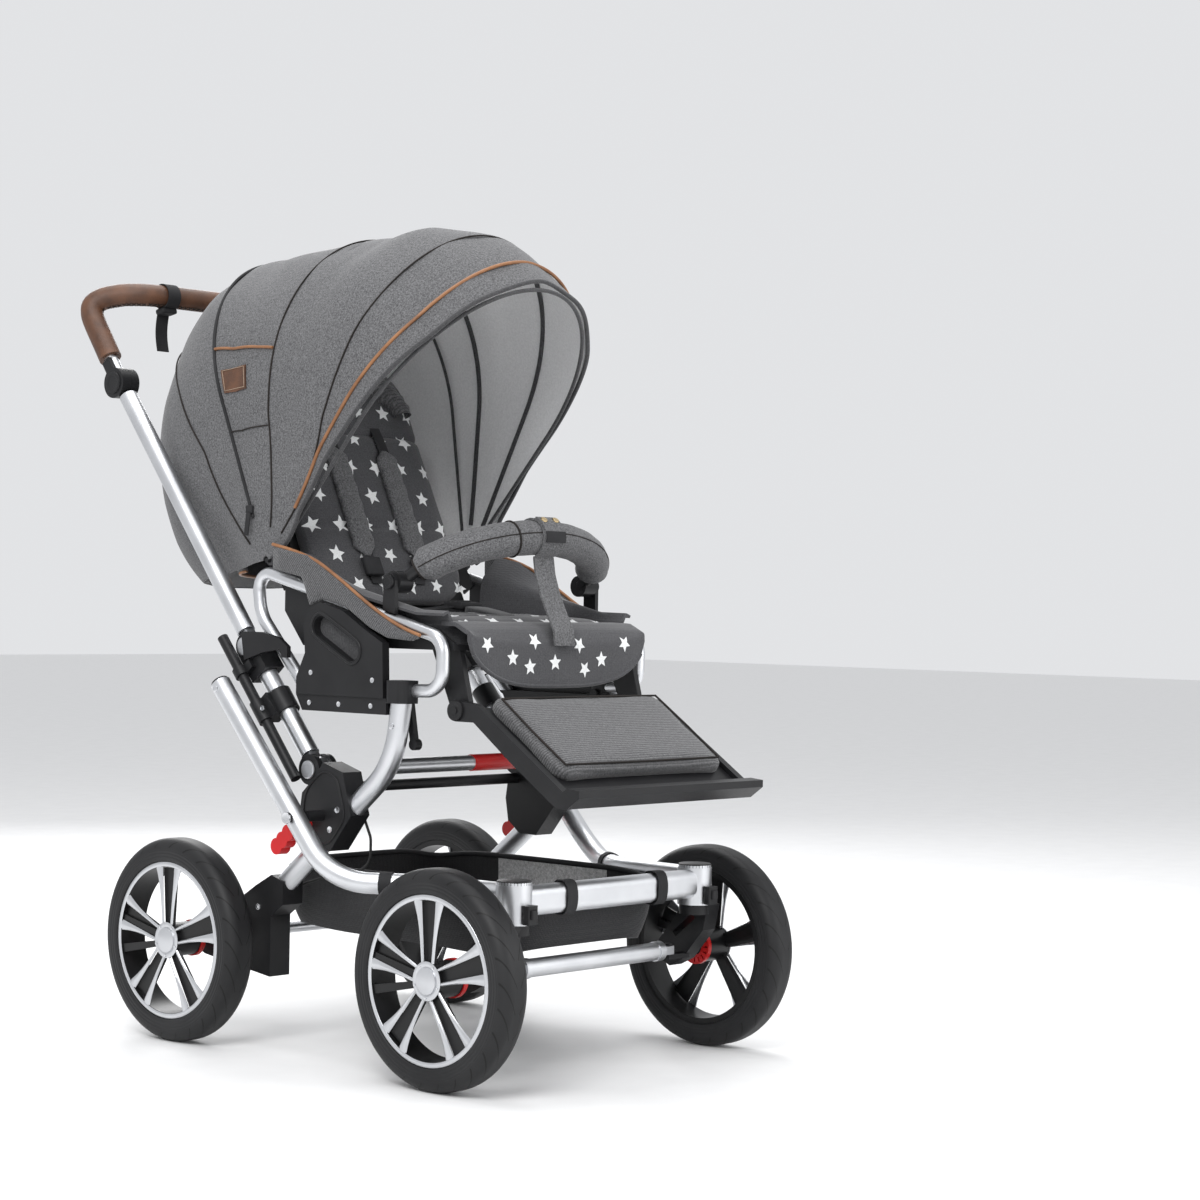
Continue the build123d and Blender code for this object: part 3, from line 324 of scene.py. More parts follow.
# %% Tyre rubber, with slanted cuts round the tread
def tyre_finish(name, axle_y):
    """The cuts are worked out from the angle round the axle, so they need the axle's place."""
    material = bpy.data.materials.new(name)
    material.use_nodes = True
    tree = material.node_tree
    shader = tree.nodes["Principled BSDF"]
    spot = add_node(tree, "ShaderNodeTexCoord").outputs["Object"]
    parts = add_node(tree, "ShaderNodeSeparateXYZ", Vector=spot)
    rise = math(tree, "SUBTRACT", parts.outputs["Z"], 0.15)
    run = math(tree, "SUBTRACT", parts.outputs["Y"], axle_y)
    angle = math(tree, "ARCTAN2", rise, run)
    aside = math(tree, "SUBTRACT", math(tree, "ABSOLUTE", parts.outputs["X"]), 0.2817)
    squares = math(tree, "ADD", math(tree, "MULTIPLY", rise, rise), math(tree, "MULTIPLY", run, run))
    reach = math(tree, "SQRT", squares)
    slant = math(tree, "MULTIPLY", math(tree, "ABSOLUTE", aside), 14.0)
    turns = math(tree, "FRACT", math(tree, "MULTIPLY", math(tree, "ADD", angle, slant), 26 / (2 * pi)))
    cut = math(tree, "LESS_THAN", turns, 0.10)
    tread = math(tree, "GREATER_THAN", reach, 0.1365)
    off_middle = math(tree, "GREATER_THAN", math(tree, "ABSOLUTE", aside), 0.0035)
    groove = math(tree, "MULTIPLY", math(tree, "MULTIPLY", cut, tread), off_middle)
    ring = math(tree, "MULTIPLY", math(tree, "SINE", math(tree, "MULTIPLY", reach, 1300.0)), 0.12)
    on_wall = math(tree, "LESS_THAN", reach, 0.134)
    height = math(tree, "SUBTRACT", math(tree, "MULTIPLY", ring, on_wall), groove)
    effect = add_node(tree, "ShaderNodeGroup", {"node_tree": grain}, Scale=700.0, Cloud=12.0)
    base = ramp(tree, effect.outputs["Cloud"], 0.3, 0.7, ((0.009, 0.009, 0.010), (0.017, 0.017, 0.018)))
    # Painted shade: inside the tread cuts the rubber's colour is darkened to near black, as if in shadow.
    mix = add_node(tree, "ShaderNodeMix", {"data_type": "RGBA"})
    tree.links.new(groove, mix.inputs["Factor"])
    tree.links.new(base, mix.inputs[6])
    mix.inputs[7].default_value = (0.003, 0.003, 0.003, 1)
    tree.links.new(mix.outputs[2], shader.inputs["Base Color"])
    dents = add_node(tree, "ShaderNodeBump", Strength=0.8, Distance=0.0015, Height=height)
    tree.links.new(dents.outputs["Normal"], shader.inputs["Normal"])
    shader.inputs["Roughness"].default_value = 0.52
    shader.inputs["Specular IOR Level"].default_value = 0.3
    return material


tyre_front = tyre_finish("tyre_front", -0.276)
tyre_rear = tyre_finish("tyre_rear", 0.276)

# %% [markdown]
# ## Finishes on the CAD parts
# Most hard parts already have their true shape, so each only trades its plain material for one of the
# finishes above. Soft parts are made again further down and hide their CAD stand-in.

# %% Give each CAD part its finish
finishes = {
    black_plastic: ("fork_left", "fork_right", "swivel_latch_left", "swivel_latch_right", "leg_caps",
                    "hinge_blocks", "axle_blocks", "seat_rails", "side_panels", "lock_rods", "push_clamps",
                    "handle_joints", "handle_hubs", "seat_tub", "backrest_board", "footrest_frame",
                    "bumper_mounts"),
    silver_tube: ("front_legs", "front_crossbar", "swivel_housings", "rear_legs", "mid_crossbar",
                  "spring_tubes", "link_tubes", "push_tubes", "handle_tube", "steering_rod"),
    steel: ("rear_axle",),
    charcoal: ("canopy_front_bow", "canopy_middle_bow"),
    black_metal: ("bumper_bar",),
    red_plastic: ["release_lever_left", "release_lever_right"],
    web_black: ("basket_straps", "waist_harness", "shoulder_straps"),
    cable_rubber: ("brake_cable",),
}
for end, rubber in (("front", tyre_front), ("rear", tyre_rear)):
    for side in ("left", "right"):
        finishes.setdefault(rubber, []).append(f"{end}_{side}_tyre")
        finishes.setdefault(rim_plastic, []).append(f"{end}_{side}_rim")
        finishes.setdefault(red_plastic, []).append(f"{end}_{side}_brake_ring")
finished = 0
for material, names in finishes.items():
    for name in names:
        node = frame["nodes"][name]
        for slot in node.material_slots:
            slot.material = material
        finished += 1
print(finished, "CAD parts finished")


# %% [markdown]
# ## Workshop helpers
# Every new piece starts as a primitive, or as a flat grid whose points are moved to a formula, like a
# pattern piece laid over a form. `settle` ends each one: it puts its place into its mesh, rounds the shading,
# and lets the piece ride on its body.

# %% Helpers
def only(obj):
    """Selects obj and nothing else."""
    bpy.ops.object.select_all(action="DESELECT")
    obj.select_set(True)
    bpy.context.view_layer.objects.active = obj


def modify(obj, kind, **settings):
    """Adds a modifier and applies it at once."""
    only(obj)
    modifier = obj.modifiers.new(kind.lower(), kind)
    for key, value in settings.items():
        setattr(modifier, key, value)
    bpy.ops.object.modifier_apply(modifier=modifier.name)


def weld(obj):
    """Joins points that meet, and turns the faces outwards."""
    only(obj)
    bpy.ops.object.mode_set(mode="EDIT")
    bpy.ops.mesh.select_all(action="SELECT")
    bpy.ops.mesh.remove_doubles(threshold=0.00002)
    bpy.ops.mesh.normals_make_consistent(inside=False)
    bpy.ops.object.mode_set(mode="OBJECT")


def close_ends(obj):
    """Fills the open ends of a tube, and turns the faces outwards."""
    only(obj)
    bpy.ops.object.mode_set(mode="EDIT")
    bpy.ops.mesh.select_all(action="DESELECT")
    bpy.ops.mesh.select_non_manifold()
    bpy.ops.mesh.edge_face_add()
    bpy.ops.mesh.select_all(action="SELECT")
    bpy.ops.mesh.normals_make_consistent(inside=False)
    bpy.ops.object.mode_set(mode="OBJECT")


def join(name, parts):
    """Makes one object of all parts, under a new name."""
    only(parts[0])
    for part in parts:
        part.select_set(True)
    if len(parts) > 1:
        bpy.ops.object.join()
    parts[0].name = name
    parts[0].data.name = name
    return parts[0]


def settle(obj, body, material, slot, *stands_for, crease=40):
    """Ends a piece."""
    only(obj)
    bpy.ops.object.transform_apply(location=True, rotation=True, scale=True)
    if material:
        obj.data.materials.clear()
        obj.data.materials.append(material)
    bpy.ops.object.shade_smooth_by_angle(angle=radians(crease))
    if body:
        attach(obj, body)
    if stands_for:
        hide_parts(*stands_for)
    print(obj.name, len(obj.data.polygons), "faces on", body)
    return obj


def laid_grid(name, columns, rows, form):
    """A grid primitive whose points go to form(u, v), with u and v from 0 to 1."""
    bpy.ops.object.select_all(action="DESELECT")
    bpy.ops.mesh.primitive_grid_add(x_subdivisions=columns, y_subdivisions=rows, size=1)
    obj = bpy.context.object
    obj.name = name
    obj.data.name = name
    for vert in obj.data.vertices:
        vert.co = form(vert.co.x + 0.5, vert.co.y + 0.5)
    return obj


def cord_line(name, points, radius, closed=False, sides=3, order=3):
    """A round cord, such as piping or thread, along a smooth line."""
    curve = bpy.data.curves.new(name, "CURVE")
    curve.dimensions = "3D"
    spline = curve.splines.new("NURBS")
    spline.points.add(len(points) - 1)
    for spot, point in zip(spline.points, points):
        spot.co = (*point, 1)
    spline.order_u = min(order, len(points))
    spline.use_endpoint_u = not closed
    spline.use_cyclic_u = closed
    spline.resolution_u = 4
    curve.bevel_depth = radius
    curve.bevel_resolution = sides
    curve.use_fill_caps = True
    obj = bpy.data.objects.new(name, curve)
    bpy.context.collection.objects.link(obj)
    only(obj)
    bpy.ops.object.convert(target="MESH")
    return bpy.context.object


def button(name, place, way, radius, height, rim=0.25, dish=0.0, sides=32):
    """A round head along way, with a rolled rim and, with dish, a sunk middle."""
    bpy.ops.object.select_all(action="DESELECT")
    bpy.ops.mesh.primitive_cylinder_add(vertices=sides, radius=radius, depth=height, location=place)
    obj = bpy.context.object
    obj.rotation_euler = Vector(way).to_track_quat("Z", "Y").to_euler()
    bpy.ops.object.mode_set(mode="EDIT")
    bpy.ops.mesh.select_all(action="DESELECT")
    bpy.ops.object.mode_set(mode="OBJECT")
    top = max(obj.data.polygons, key=lambda face: face.center.z if len(face.vertices) > 4 else -9)
    top.select = True
    bpy.ops.object.mode_set(mode="EDIT")
    if dish:
        bpy.ops.mesh.inset(thickness=radius * 0.45)
        bpy.ops.transform.translate(value=Vector(way).normalized() * -dish)
        bpy.ops.mesh.select_more()
    bpy.ops.mesh.bevel(offset=radius * rim * 0.5, segments=2)
    bpy.ops.object.mode_set(mode="OBJECT")
    obj.name = name
    return obj


def block(name, size, place, turn=(0, 0, 0), soft=0.25):
    """A box of size at place, with edges rounded by soft times its smallest side."""
    bpy.ops.object.select_all(action="DESELECT")
    bpy.ops.mesh.primitive_cube_add(size=1, location=place, rotation=turn)
    obj = bpy.context.object
    obj.scale = size
    only(obj)
    bpy.ops.object.transform_apply(location=False, rotation=False, scale=True)
    bpy.ops.object.mode_set(mode="EDIT")
    bpy.ops.mesh.select_all(action="SELECT")
    bpy.ops.mesh.bevel(offset=min(size) * soft, segments=3, affect="EDGES")
    bpy.ops.object.mode_set(mode="OBJECT")
    obj.name = name
    return obj


def between(value, places, heights):
    """The height at value on the line of straight runs through places and heights."""
    return float(np.interp(value, places, heights))


def axis_x(side):
    return (side, 0, 0)


SIDES = (("left", 1), ("right", -1))
AXLES = (("front", -0.276), ("rear", 0.276))
wheel_x = 0.2815
axle_height = 0.15

# %% [markdown]
# ## Wheel faces
# Each wheel shows five forked silver spoke faces, a thin bright trim ring and a round cap. They are laid on
# the outer side of the black moulding, modelled once round the axle line and copied to the four wheels.

# %% One wheel face, at the origin, facing +X
def spoke_face(turn, lean):
    """A tapered plate on one leg of a forked spoke."""
    def form(u, v):
        reach = 0.024 + 0.0855 * u
        aside = lean * (0.0078 + 0.0058 * u + (0.0036 + 0.0030 * u + 0.0105 * u ** 3) * v)
        proud = 0.0206 + 0.0016 * (1 - (2 * v - 1) ** 4)
        return Vector((proud, reach * cos(turn) - aside * sin(turn), reach * sin(turn) + aside * cos(turn)))
    plate = laid_grid("spoke_face", 14, 4, form)
    modify(plate, "SOLIDIFY", thickness=0.0014, offset=0)
    weld(plate)
    return plate


def trim_ring(name, inner, outer, low, high):
    """A flat ring with a rounded face, spun as a closed band."""
    def form(u, v):
        turn = 2 * pi * u
        side = 2 * pi * v
        reach = (inner + outer) / 2 + (outer - inner) / 2 * cos(side)
        return Vector(((low + high) / 2 + (high - low) / 2 * sin(side), reach * cos(turn), reach * sin(turn)))
    ring = laid_grid(name, 96, 10, form)
    weld(ring)
    return ring


def wheel_face():
    pieces = []
    for arm in range(5):
        for lean in (1, -1):
            pieces.append(spoke_face(pi / 2 + arm * 2 * pi / 5, lean))
    pieces.append(trim_ring("trim_ring", 0.1085, 0.1155, 0.0215, 0.0235))
    pieces.append(trim_ring("hub_ring", 0.0185, 0.0265, 0.0224, 0.0240))
    pieces.append(button("hub_cap", (0.0245, 0, 0), (1, 0, 0), 0.0190, 0.003))
    return join("wheel_face", pieces)


def fork_web(turn):
    """The dark channel between the two silver legs of a fork."""
    def form(u, v):
        reach = 0.022 + 0.0840 * u
        aside = (0.0086 + 0.0058 * u) * (2 * v - 1)
        sunk = 0.0164 + 0.0016 * abs(2 * v - 1) ** 6
        return Vector((sunk, reach * cos(turn) - aside * sin(turn), reach * sin(turn) + aside * cos(turn)))
    web = laid_grid("fork_web", 8, 10, form)
    modify(web, "SOLIDIFY", thickness=0.0040, offset=-1)
    weld(web)
    return web


def wheel_webs():
    return join("wheel_webs", [fork_web(pi / 2 + arm * 2 * pi / 5) for arm in range(5)])


def to_wheel(pattern, name, place, sign):
    """A copy of a wheel pattern with its own mesh, turned to face outwards."""
    piece = pattern.copy()
    piece.data = pattern.data.copy()
    bpy.context.collection.objects.link(piece)
    piece.name = name
    piece.rotation_euler = (0, 0, 0 if sign > 0 else pi)
    piece.location = place
    return piece


patterns = {
    "face": (wheel_face(), silver_paint, "silver_tube"),
    "webs": (wheel_webs(), rim_plastic, "rim_plastic"),
}
screw_ring = 0.0228
screw_turns = [pi / 2 + (k + 0.5) * 2 * pi / 5 for k in range(5)]
for pattern, material, slot in patterns.values():
    only(pattern)
    bpy.ops.object.transform_apply(location=True, rotation=True, scale=True)
for end, axle_y in AXLES:
    for side, sign in SIDES:
        body = f"wheel_{end}_{side}"
        for part, (pattern, material, slot) in patterns.items():
            place = (sign * wheel_x, axle_y, axle_height)
            settle(to_wheel(pattern, f"{end}_{side}_wheel_{part}", place, sign), body, material, slot)
        screws = []
        for a in screw_turns:
            place = (sign * 0.3058, axle_y + screw_ring * cos(a), axle_height + screw_ring * sin(a))
            screws.append(button("screw", place, axis_x(sign), 0.0018, 0.002, sides=10))
        settle(join(f"{end}_{side}_hub_screws", screws), body, steel, "steel")
for pattern, material, slot in patterns.values():
    bpy.data.objects.remove(pattern)

# %% [markdown]
# ## Small fittings on the frame
# Rivets, bolts and pivot discs are what make a frame look assembled. They sit just proud of the part they
# fasten, each on the body it moves with.

# %% Rivets, bolts and discs
def heads(name, body, material, places, radius, height, dish=0.0):
    """One head on each side for every (|x|, y, z); x is where the head's foot sits."""
    made = []
    for x, y, z in places:
        for side, sign in SIDES:
            place = (sign * (x + height / 2), y, z)
            made.append(button(name, place, axis_x(sign), radius, height, dish=dish, sides=24))
    settle(join(name, made), body, material, "steel" if material is steel else "black_plastic")


heads("leg_rivets", "front_frame", steel, [(0.2915, 0.188, 0.5242)], 0.0048, 0.0025)
heads("cross_bolts", "rear_frame", steel, [(0.2965, 0.021, 0.348)], 0.0085, 0.0035, 0.001)
heads("hinge_discs", "rear_frame", silver_paint, [(0.232, 0.050, 0.412)], 0.0135, 0.003, 0.0008)
heads("block_bolts", "rear_frame", steel, [(0.231, -0.013, 0.358), (0.231, 0.002, 0.329)],
      0.0048, 0.002, 0.0008)
heads("rear_leg_rivets", "rear_frame", steel, [(0.2275, -0.118, 0.482)], 0.0045, 0.0022)
heads("rail_bolts", "rear_frame", steel, [(0.225, y, 0.5085) for y in (-0.072, -0.005, 0.058)],
      0.0040, 0.0015, 0.0006)
heads("clamp_discs", "link", silver_paint, [(0.2323, 0.198, 0.586)], 0.0135, 0.0028, 0.0008)
heads("collar_screws", "link", steel, [(0.2495, 0.1325, 0.4975)], 0.0042, 0.0016, 0.0006)
heads("fork_bolts", "rear_frame", steel, [(0.231, 0.243, 0.163), (0.231, 0.155, 0.205)],
      0.0045, 0.0018, 0.0006)
heads("tilt_caps", "push_bar", black_plastic, [(0.2262, 0.526, 0.990)], 0.0060, 0.0016)
heads("tilt_rings", "handle", black_plastic, [(0.2290, 0.526, 0.990)], 0.0175, 0.0030, 0.0012)
heads("knee_caps", "footrest", black_plastic, [(0.1945, -0.212, 0.507)], 0.0145, 0.0045, 0.0012)
heads("bumper_caps", "bumper", black_plastic, [(0.2138, -0.092, 0.684)], 0.0105, 0.0035, 0.001)
heads("panel_bolts", "rear_frame", steel, [(0.2285, -0.078, 0.545), (0.2285, 0.052, 0.552)],
      0.0040, 0.0014, 0.0006)

# %% Raised oval on each side panel, and raised contours on the hinge blocks
def oval_band(name, x, centre, length, height, turn, radius, side):
    """A round bead bent into a slot shape on the plane |x|."""
    points = []
    for k in range(40):
        a = 2 * pi * k / 40
        end = 1 if cos(a) > 0 else -1
        along = (length - height) / 2 * end * min(1, abs(cos(a)) * 3) + height / 2 * cos(a)
        aside = height / 2 * sin(a)
        points.append((side * x, centre[0] + along * cos(turn) - aside * sin(turn),
                       centre[1] + along * sin(turn) + aside * cos(turn)))
    return cord_line(name, points, radius, closed=True)


ovals = []
for side, sign in SIDES:
    ovals.append(oval_band("panel_oval", 0.2285, (0.0, 0.602), 0.112, 0.038, radians(27), 0.0022, sign))
    contour = [(0.030, 0.405), (0.055, 0.383), (0.061, 0.352), (0.055, 0.322), (0.036, 0.306), (0.006, 0.306),
               (-0.014, 0.328), (-0.030, 0.350), (-0.018, 0.382), (-0.012, 0.402), (0.012, 0.412)]
    ovals.append(cord_line("block_contour", [(sign * 0.2312, y, z) for y, z in contour], 0.0016, closed=True))
settle(join("moulded_ridges", ovals), "rear_frame", black_plastic, "black_plastic")

# %% Dark cloth behind the side panels' slots
linings = []
for side, sign in SIDES:
    place = (sign * 0.2147, 0.0, 0.602)
    linings.append(block("slot_backing", (0.0012, 0.124, 0.040), place, (radians(27), 0, 0)))
settle(join("slot_backings", linings), "rear_frame", charcoal, "seat_cloth")

# %% The coloured band on the middle crossbar
band = button("crossbar_band", (0, -0.098, 0.424), (1, 0, 0), 0.0122, 0.10, rim=0.1)
settle(band, "rear_frame", red_plastic, "red_plastic")

# %% Caps on the steering housings and plugs in the open tube ends
leg_way = Vector((0, 0.675, 0.738)).normalized()
caps, plugs = [], []
for side, sign in SIDES:
    caps.append(button("housing_cap", (sign * 0.190, -0.325, 0.2788), (0, 0, 1), 0.0240, 0.006, rim=0.15))
    place = Vector((sign * 0.277, 0.195, 0.532)) + leg_way * 0.001
    plugs.append(button("leg_plug", place, leg_way, 0.0138, 0.006, rim=0.3))
settle(join("housing_caps", caps), "front_frame", black_plastic, "black_plastic")
settle(join("leg_plugs", plugs), "front_frame", black_plastic, "black_plastic")

# %% Small buffers on the push tubes
nubs = []
for side, sign in SIDES:
    for y, z in ((0.262, 0.680), (0.395, 0.8405), (0.488, 0.9525)):
        place = (sign * 0.213, y + 0.0115, z - 0.0085)
        nubs.append(block("tube_buffer", (0.012, 0.007, 0.016), place, (radians(-39), 0, 0)))
settle(join("tube_buffers", nubs), "push_bar", black_plastic, "black_plastic")

# %% [markdown]
# ## Handle grip
# The grip is one sewn leather tube over the bent bar, joined by a cross stitched seam on its inner side.
# The seam is thread on the surface: short crossed stitches that follow the same line as the leather.

# %% Leather tube
def grip_points():
    left = [(0.213, 0.5555, 1.0303), (0.213, 0.574, 1.056), (0.213, 0.594, 1.083), (0.213, 0.607, 1.103),
            (0.209, 0.611, 1.119), (0.196, 0.600, 1.130), (0.175, 0.575, 1.136), (0.150, 0.556, 1.137),
            (0.120, 0.548, 1.137), (0.070, 0.548, 1.137)]
    return left + [(0, 0.548, 1.137)] + [(-x, y, z) for x, y, z in reversed(left)]


grip = cord_line("leather_grip", grip_points(), 0.0178, sides=6)
settle(grip, "handle", brown_leather, "brown_leather", "handle_grip")
stubs = []
for side, sign in SIDES:
    run = [(sign * 0.213, 0.538, 1.0065), (sign * 0.213, 0.5565, 1.0317)]
    stubs.append(cord_line("tube_stub", run, 0.011, sides=6))
settle(join("handle_stubs", stubs), "handle", silver_tube, "silver_tube", "handle_tube")

# %% Cross stitches along the grip's inner side
line = [Vector(p) for p in grip_points()]
steps = []
for a, b in zip(line, line[1:]):
    count = max(1, round((b - a).length / 0.0085))
    steps += [(a.lerp(b, k / count), (b - a).normalized()) for k in range(count)]
stitches = []
for spot, way in steps:
    down = Vector((0, -0.45, -0.9))
    down = (down - way * down.dot(way)).normalized()
    aside = way.cross(down)
    for lean in (1, -1):
        ends = []
        for end in (-1, 0, 1):
            swing = end * 0.22
            out = (down * cos(swing) + aside * lean * sin(swing)) * (0.0183 + 0.0004 * (1 - abs(end)))
            ends.append(spot + out + way * end * 0.0032)
        stitches.append(cord_line("stitch", ends, 0.0007, sides=1))
settle(join("grip_stitching", stitches), "handle", thread_dark, "webbing")

# %% Wrist strap: a band with a buckle and a hanging tail
def band_round(name, x, width, radius, centre, thick=0.0016):
    def form(u, v):
        turn = 2 * pi * u
        return Vector((x + width * (v - 0.5), centre[0] + radius * cos(turn), centre[1] + radius * sin(turn)))
    band = laid_grid(name, 40, 3, form)
    weld(band)
    modify(band, "SOLIDIFY", thickness=thick, offset=1)
    return band


def tail_form(u, v):
    z = 1.118 - 0.068 * v
    return Vector((-0.109 + 0.0115 * (2 * u - 1), 0.5555 + 0.006 * sin(3 * v), z))


tail = laid_grid("strap_tail", 4, 14, tail_form)
modify(tail, "SOLIDIFY", thickness=0.0015, offset=0)
buckle = block("strap_buckle", (0.030, 0.020, 0.009), (-0.109, 0.5495, 1.1135), (radians(-10), 0, 0), 0.35)
strap = join("wrist_strap", [band_round("strap_band", -0.109, 0.024, 0.0186, (0.548, 1.137)), tail, buckle])
settle(strap, "handle", web_black, "webbing", "handle_strap")

# %% [markdown]
# ## Hood
# The hood is one sheet of melange cloth over two wire bows. Its crown rises and dips between the bows, its
# sides fall nearly straight, and its front edge is a turned visor. The sheet starts as a flat grid: one
# direction goes round the hinge from back to front, the other over the head from side to side.

# %% The hood's shape
hinge = Vector((0, 0.175, 0.714))
crown_at = [-8, 5, 15, 27, 38, 50, 60, 67, 74, 85, 94, 100, 104, 108, 116, 122, 128, 134]
crown_reach = [0.300, 0.370, 0.415, 0.457, 0.488, 0.513, 0.524, 0.516, 0.498, 0.492, 0.494, 0.498, 0.514,
               0.528, 0.541, 0.543, 0.541, 0.538]
width_at = [-8, 15, 38, 60, 82, 100, 116, 134]
width_half = [0.168, 0.184, 0.201, 0.212, 0.215, 0.215, 0.213, 0.208]
side_from = 0.6       # share of the arch where the hood's straight side begins
front_angle = 134     # the last angle of the tables above
edge_arch = [0, 0.35, 0.6, 0.72, 0.86, 0.93, 1.0]
edge_angle = [131, 132.5, 131, 130, 134, 150, 168]


def hood_point(angle, arch, inward=0.0):
    """angle from the rear round the hinge; arch from -1 at one foot over 0 at the crown to 1."""
    reach = between(angle, crown_at, crown_reach) - inward
    half = between(angle, width_at, width_half) - inward
    shoulder = 0.5 * reach
    side = 1 if arch >= 0 else -1
    part = abs(arch)
    on_side = part > side_from
    if on_side:
        down = (part - side_from) / (1 - side_from)
        up = shoulder * (1 - down) + 0.006 * down
        out = half
    else:
        turn = pi / 2 * (1 - part / side_from)
        up = shoulder + (reach - shoulder) * sin(turn)
        out = half * cos(turn)
    foot = max(0.0, 1 - up / 0.14)
    foot = foot * foot * (3 - 2 * foot)
    if on_side:
        out = out * (1 - foot) + (0.2125 - inward) * foot
    way = radians(angle)
    return Vector((side * out, hinge.y + up * cos(way), hinge.z + up * sin(way)))


def visor_angle(arch):
    """How far forward the hood's edge lies: it leans on near its feet."""
    return between(abs(arch), edge_arch, edge_angle)


def hood_form(u, v):
    arch = 2 * u - 1
    angle = -8 + (visor_angle(arch) + 8) * v
    spot = hood_point(min(angle, front_angle), arch)
    if angle > front_angle:
        up = Vector((0, spot.y - hinge.y, spot.z - hinge.z)).length
        spot = Vector((spot.x, hinge.y + up * cos(radians(angle)), hinge.z + up * sin(radians(angle))))
    ripple = 0.0022 * sin(9 * arch * pi + angle * 0.16) * (1 - abs(arch)) ** 0.5
    away = Vector((0, spot.y - hinge.y, spot.z - hinge.z)).normalized()
    return spot + away * ripple


hood = laid_grid("hood", 96, 84, hood_form)
weld(hood)
top_face = max(hood.data.polygons, key=lambda face: face.center.z)
if top_face.normal.z < 0:
    only(hood)
    bpy.ops.object.mode_set(mode="EDIT")
    bpy.ops.mesh.select_all(action="SELECT")
    bpy.ops.mesh.flip_normals()
    bpy.ops.object.mode_set(mode="OBJECT")
hood.data.materials.append(melange)
hood.data.materials.append(lining)
hood.data.materials.append(charcoal)
modify(hood, "SOLIDIFY", thickness=0.0022, offset=-1, material_offset=1, material_offset_rim=2)
settle(hood, None, None, "canopy_cloth", "canopy_rear", "canopy_middle", "canopy_front", crease=60)
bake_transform(hood)


# %% Piping, seams and zip of the hood
def over_hood(angles, first=-0.93, last=0.93, proud=0.0012, count=60):
    """Points across the hood just above the cloth; the angles go from the crown down to a foot."""
    spots = []
    for k in range(count + 1):
        arch = first + (last - first) * k / count
        angle = between(abs(arch), [0, 0.45, 0.65, 0.8, 0.95], angles)
        spots.append(hood_point(angle, arch, -proud))
    return spots


def with_hood(obj, material, slot):
    """Ends a trim of the hood: like the hood, it is tied to no body, and its place is put into its mesh."""
    settle(obj, None, material, slot)
    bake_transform(obj)


visor = []
for k in range(61):
    arch = -0.86 + 1.72 * k / 60
    visor.append(hood_point(min(visor_angle(arch) - 5, 129), arch, -0.0016))
with_hood(cord_line("visor_piping", visor, 0.0026), piping_leather, "brown_leather")
edge = []
for k in range(81):
    arch = -0.985 + 1.97 * k / 80
    edge.append(hood_form((arch + 1) / 2, 0.999))
with_hood(cord_line("visor_edge", edge, 0.0034), charcoal, "canopy_cloth")
seam_angles = ([92, 91, 91, 96, 104], [117, 117, 120, 128, 131], [44, 48, 47, 38, 30])
seams = [cord_line("seam", over_hood(angles), 0.0013) for angles in seam_angles]
with_hood(join("hood_seams", seams), thread_dark, "webbing")
zip_angles = [66, 66, 66.5, 66.5, 66]
with_hood(cord_line("hood_zip", over_hood(zip_angles, first=-0.9, last=0.9), 0.0026), web_black, "webbing")
ribs = []
for angle in (94, 117):
    line_in = [hood_point(angle, -0.9 + 1.8 * k / 44, 0.0040) for k in range(45)]
    ribs.append(cord_line("rib", line_in, 0.0036))
with_hood(join("lining_ribs", ribs), charcoal, "canopy_cloth")


# %% Zip pull, pocket edge and bare leather patch on the near side
def hood_patch(name, angles, arches, columns, rows, thick, proud=0.001):
    def form(u, v):
        angle = angles[0] + (angles[1] - angles[0]) * u
        arch = arches[0] + (arches[1] - arches[0]) * v
        return hood_point(angle, arch, -proud)
    patch = laid_grid(name, columns, rows, form)
    modify(patch, "SOLIDIFY", thickness=thick, offset=0)
    return patch


patch = hood_patch("leather_patch", (68.5, 79.5), (-0.525, -0.582), 8, 6, 0.0016, 0.0016)
with_hood(patch, brown_leather, "brown_leather")
border = []
for angle, arch in ((69.2, -0.529), (78.8, -0.529), (78.8, -0.578), (69.2, -0.578)):
    border.append(hood_point(angle, arch, -0.0028))
with_hood(cord_line("patch_stitching", border, 0.0005, closed=True, order=2), thread_pale, "webbing")
pocket = [hood_point(66.5 + 24 * k / 16, -0.465 - 0.03 * k / 16, -0.0018) for k in range(17)]
with_hood(cord_line("pocket_piping", pocket, 0.0022), piping_leather, "brown_leather")
pocket_foot = [hood_point(66.5 + 24.5 * k / 16, -0.68, -0.0014) for k in range(17)]
with_hood(cord_line("pocket_seam", pocket_foot, 0.0010), thread_dark, "webbing")
pull_top = hood_point(66, -0.88, -0.004)
pull = join("zip_pull", [block("zip_slider", (0.005, 0.014, 0.012), pull_top, (0, 0, 0), 0.3),
                         block("zip_tape", (0.0022, 0.009, 0.034), pull_top + Vector((-0.003, 0.001, -0.022)),
                               (radians(8), 0, 0), 0.3)])
with_hood(pull, web_black, "webbing")


# %% Rear flap below the hood
def flap_form(u, v):
    turn = (u - 0.5) * pi
    y = between(v, [0, 0.2, 0.45, 0.7, 1.0], [0.470, 0.470, 0.440, 0.395, 0.325])
    z = between(v, [0, 0.2, 0.45, 0.7, 1.0], [0.850, 0.800, 0.752, 0.722, 0.688])
    near = cos(turn) ** 0.75 if cos(turn) > 0 else 0
    x = 0.178 * sin(turn) * (1 - 0.02 * v)
    return Vector((x, 0.262 + (y - 0.262) * near, z + 0.01 * (1 - near)))


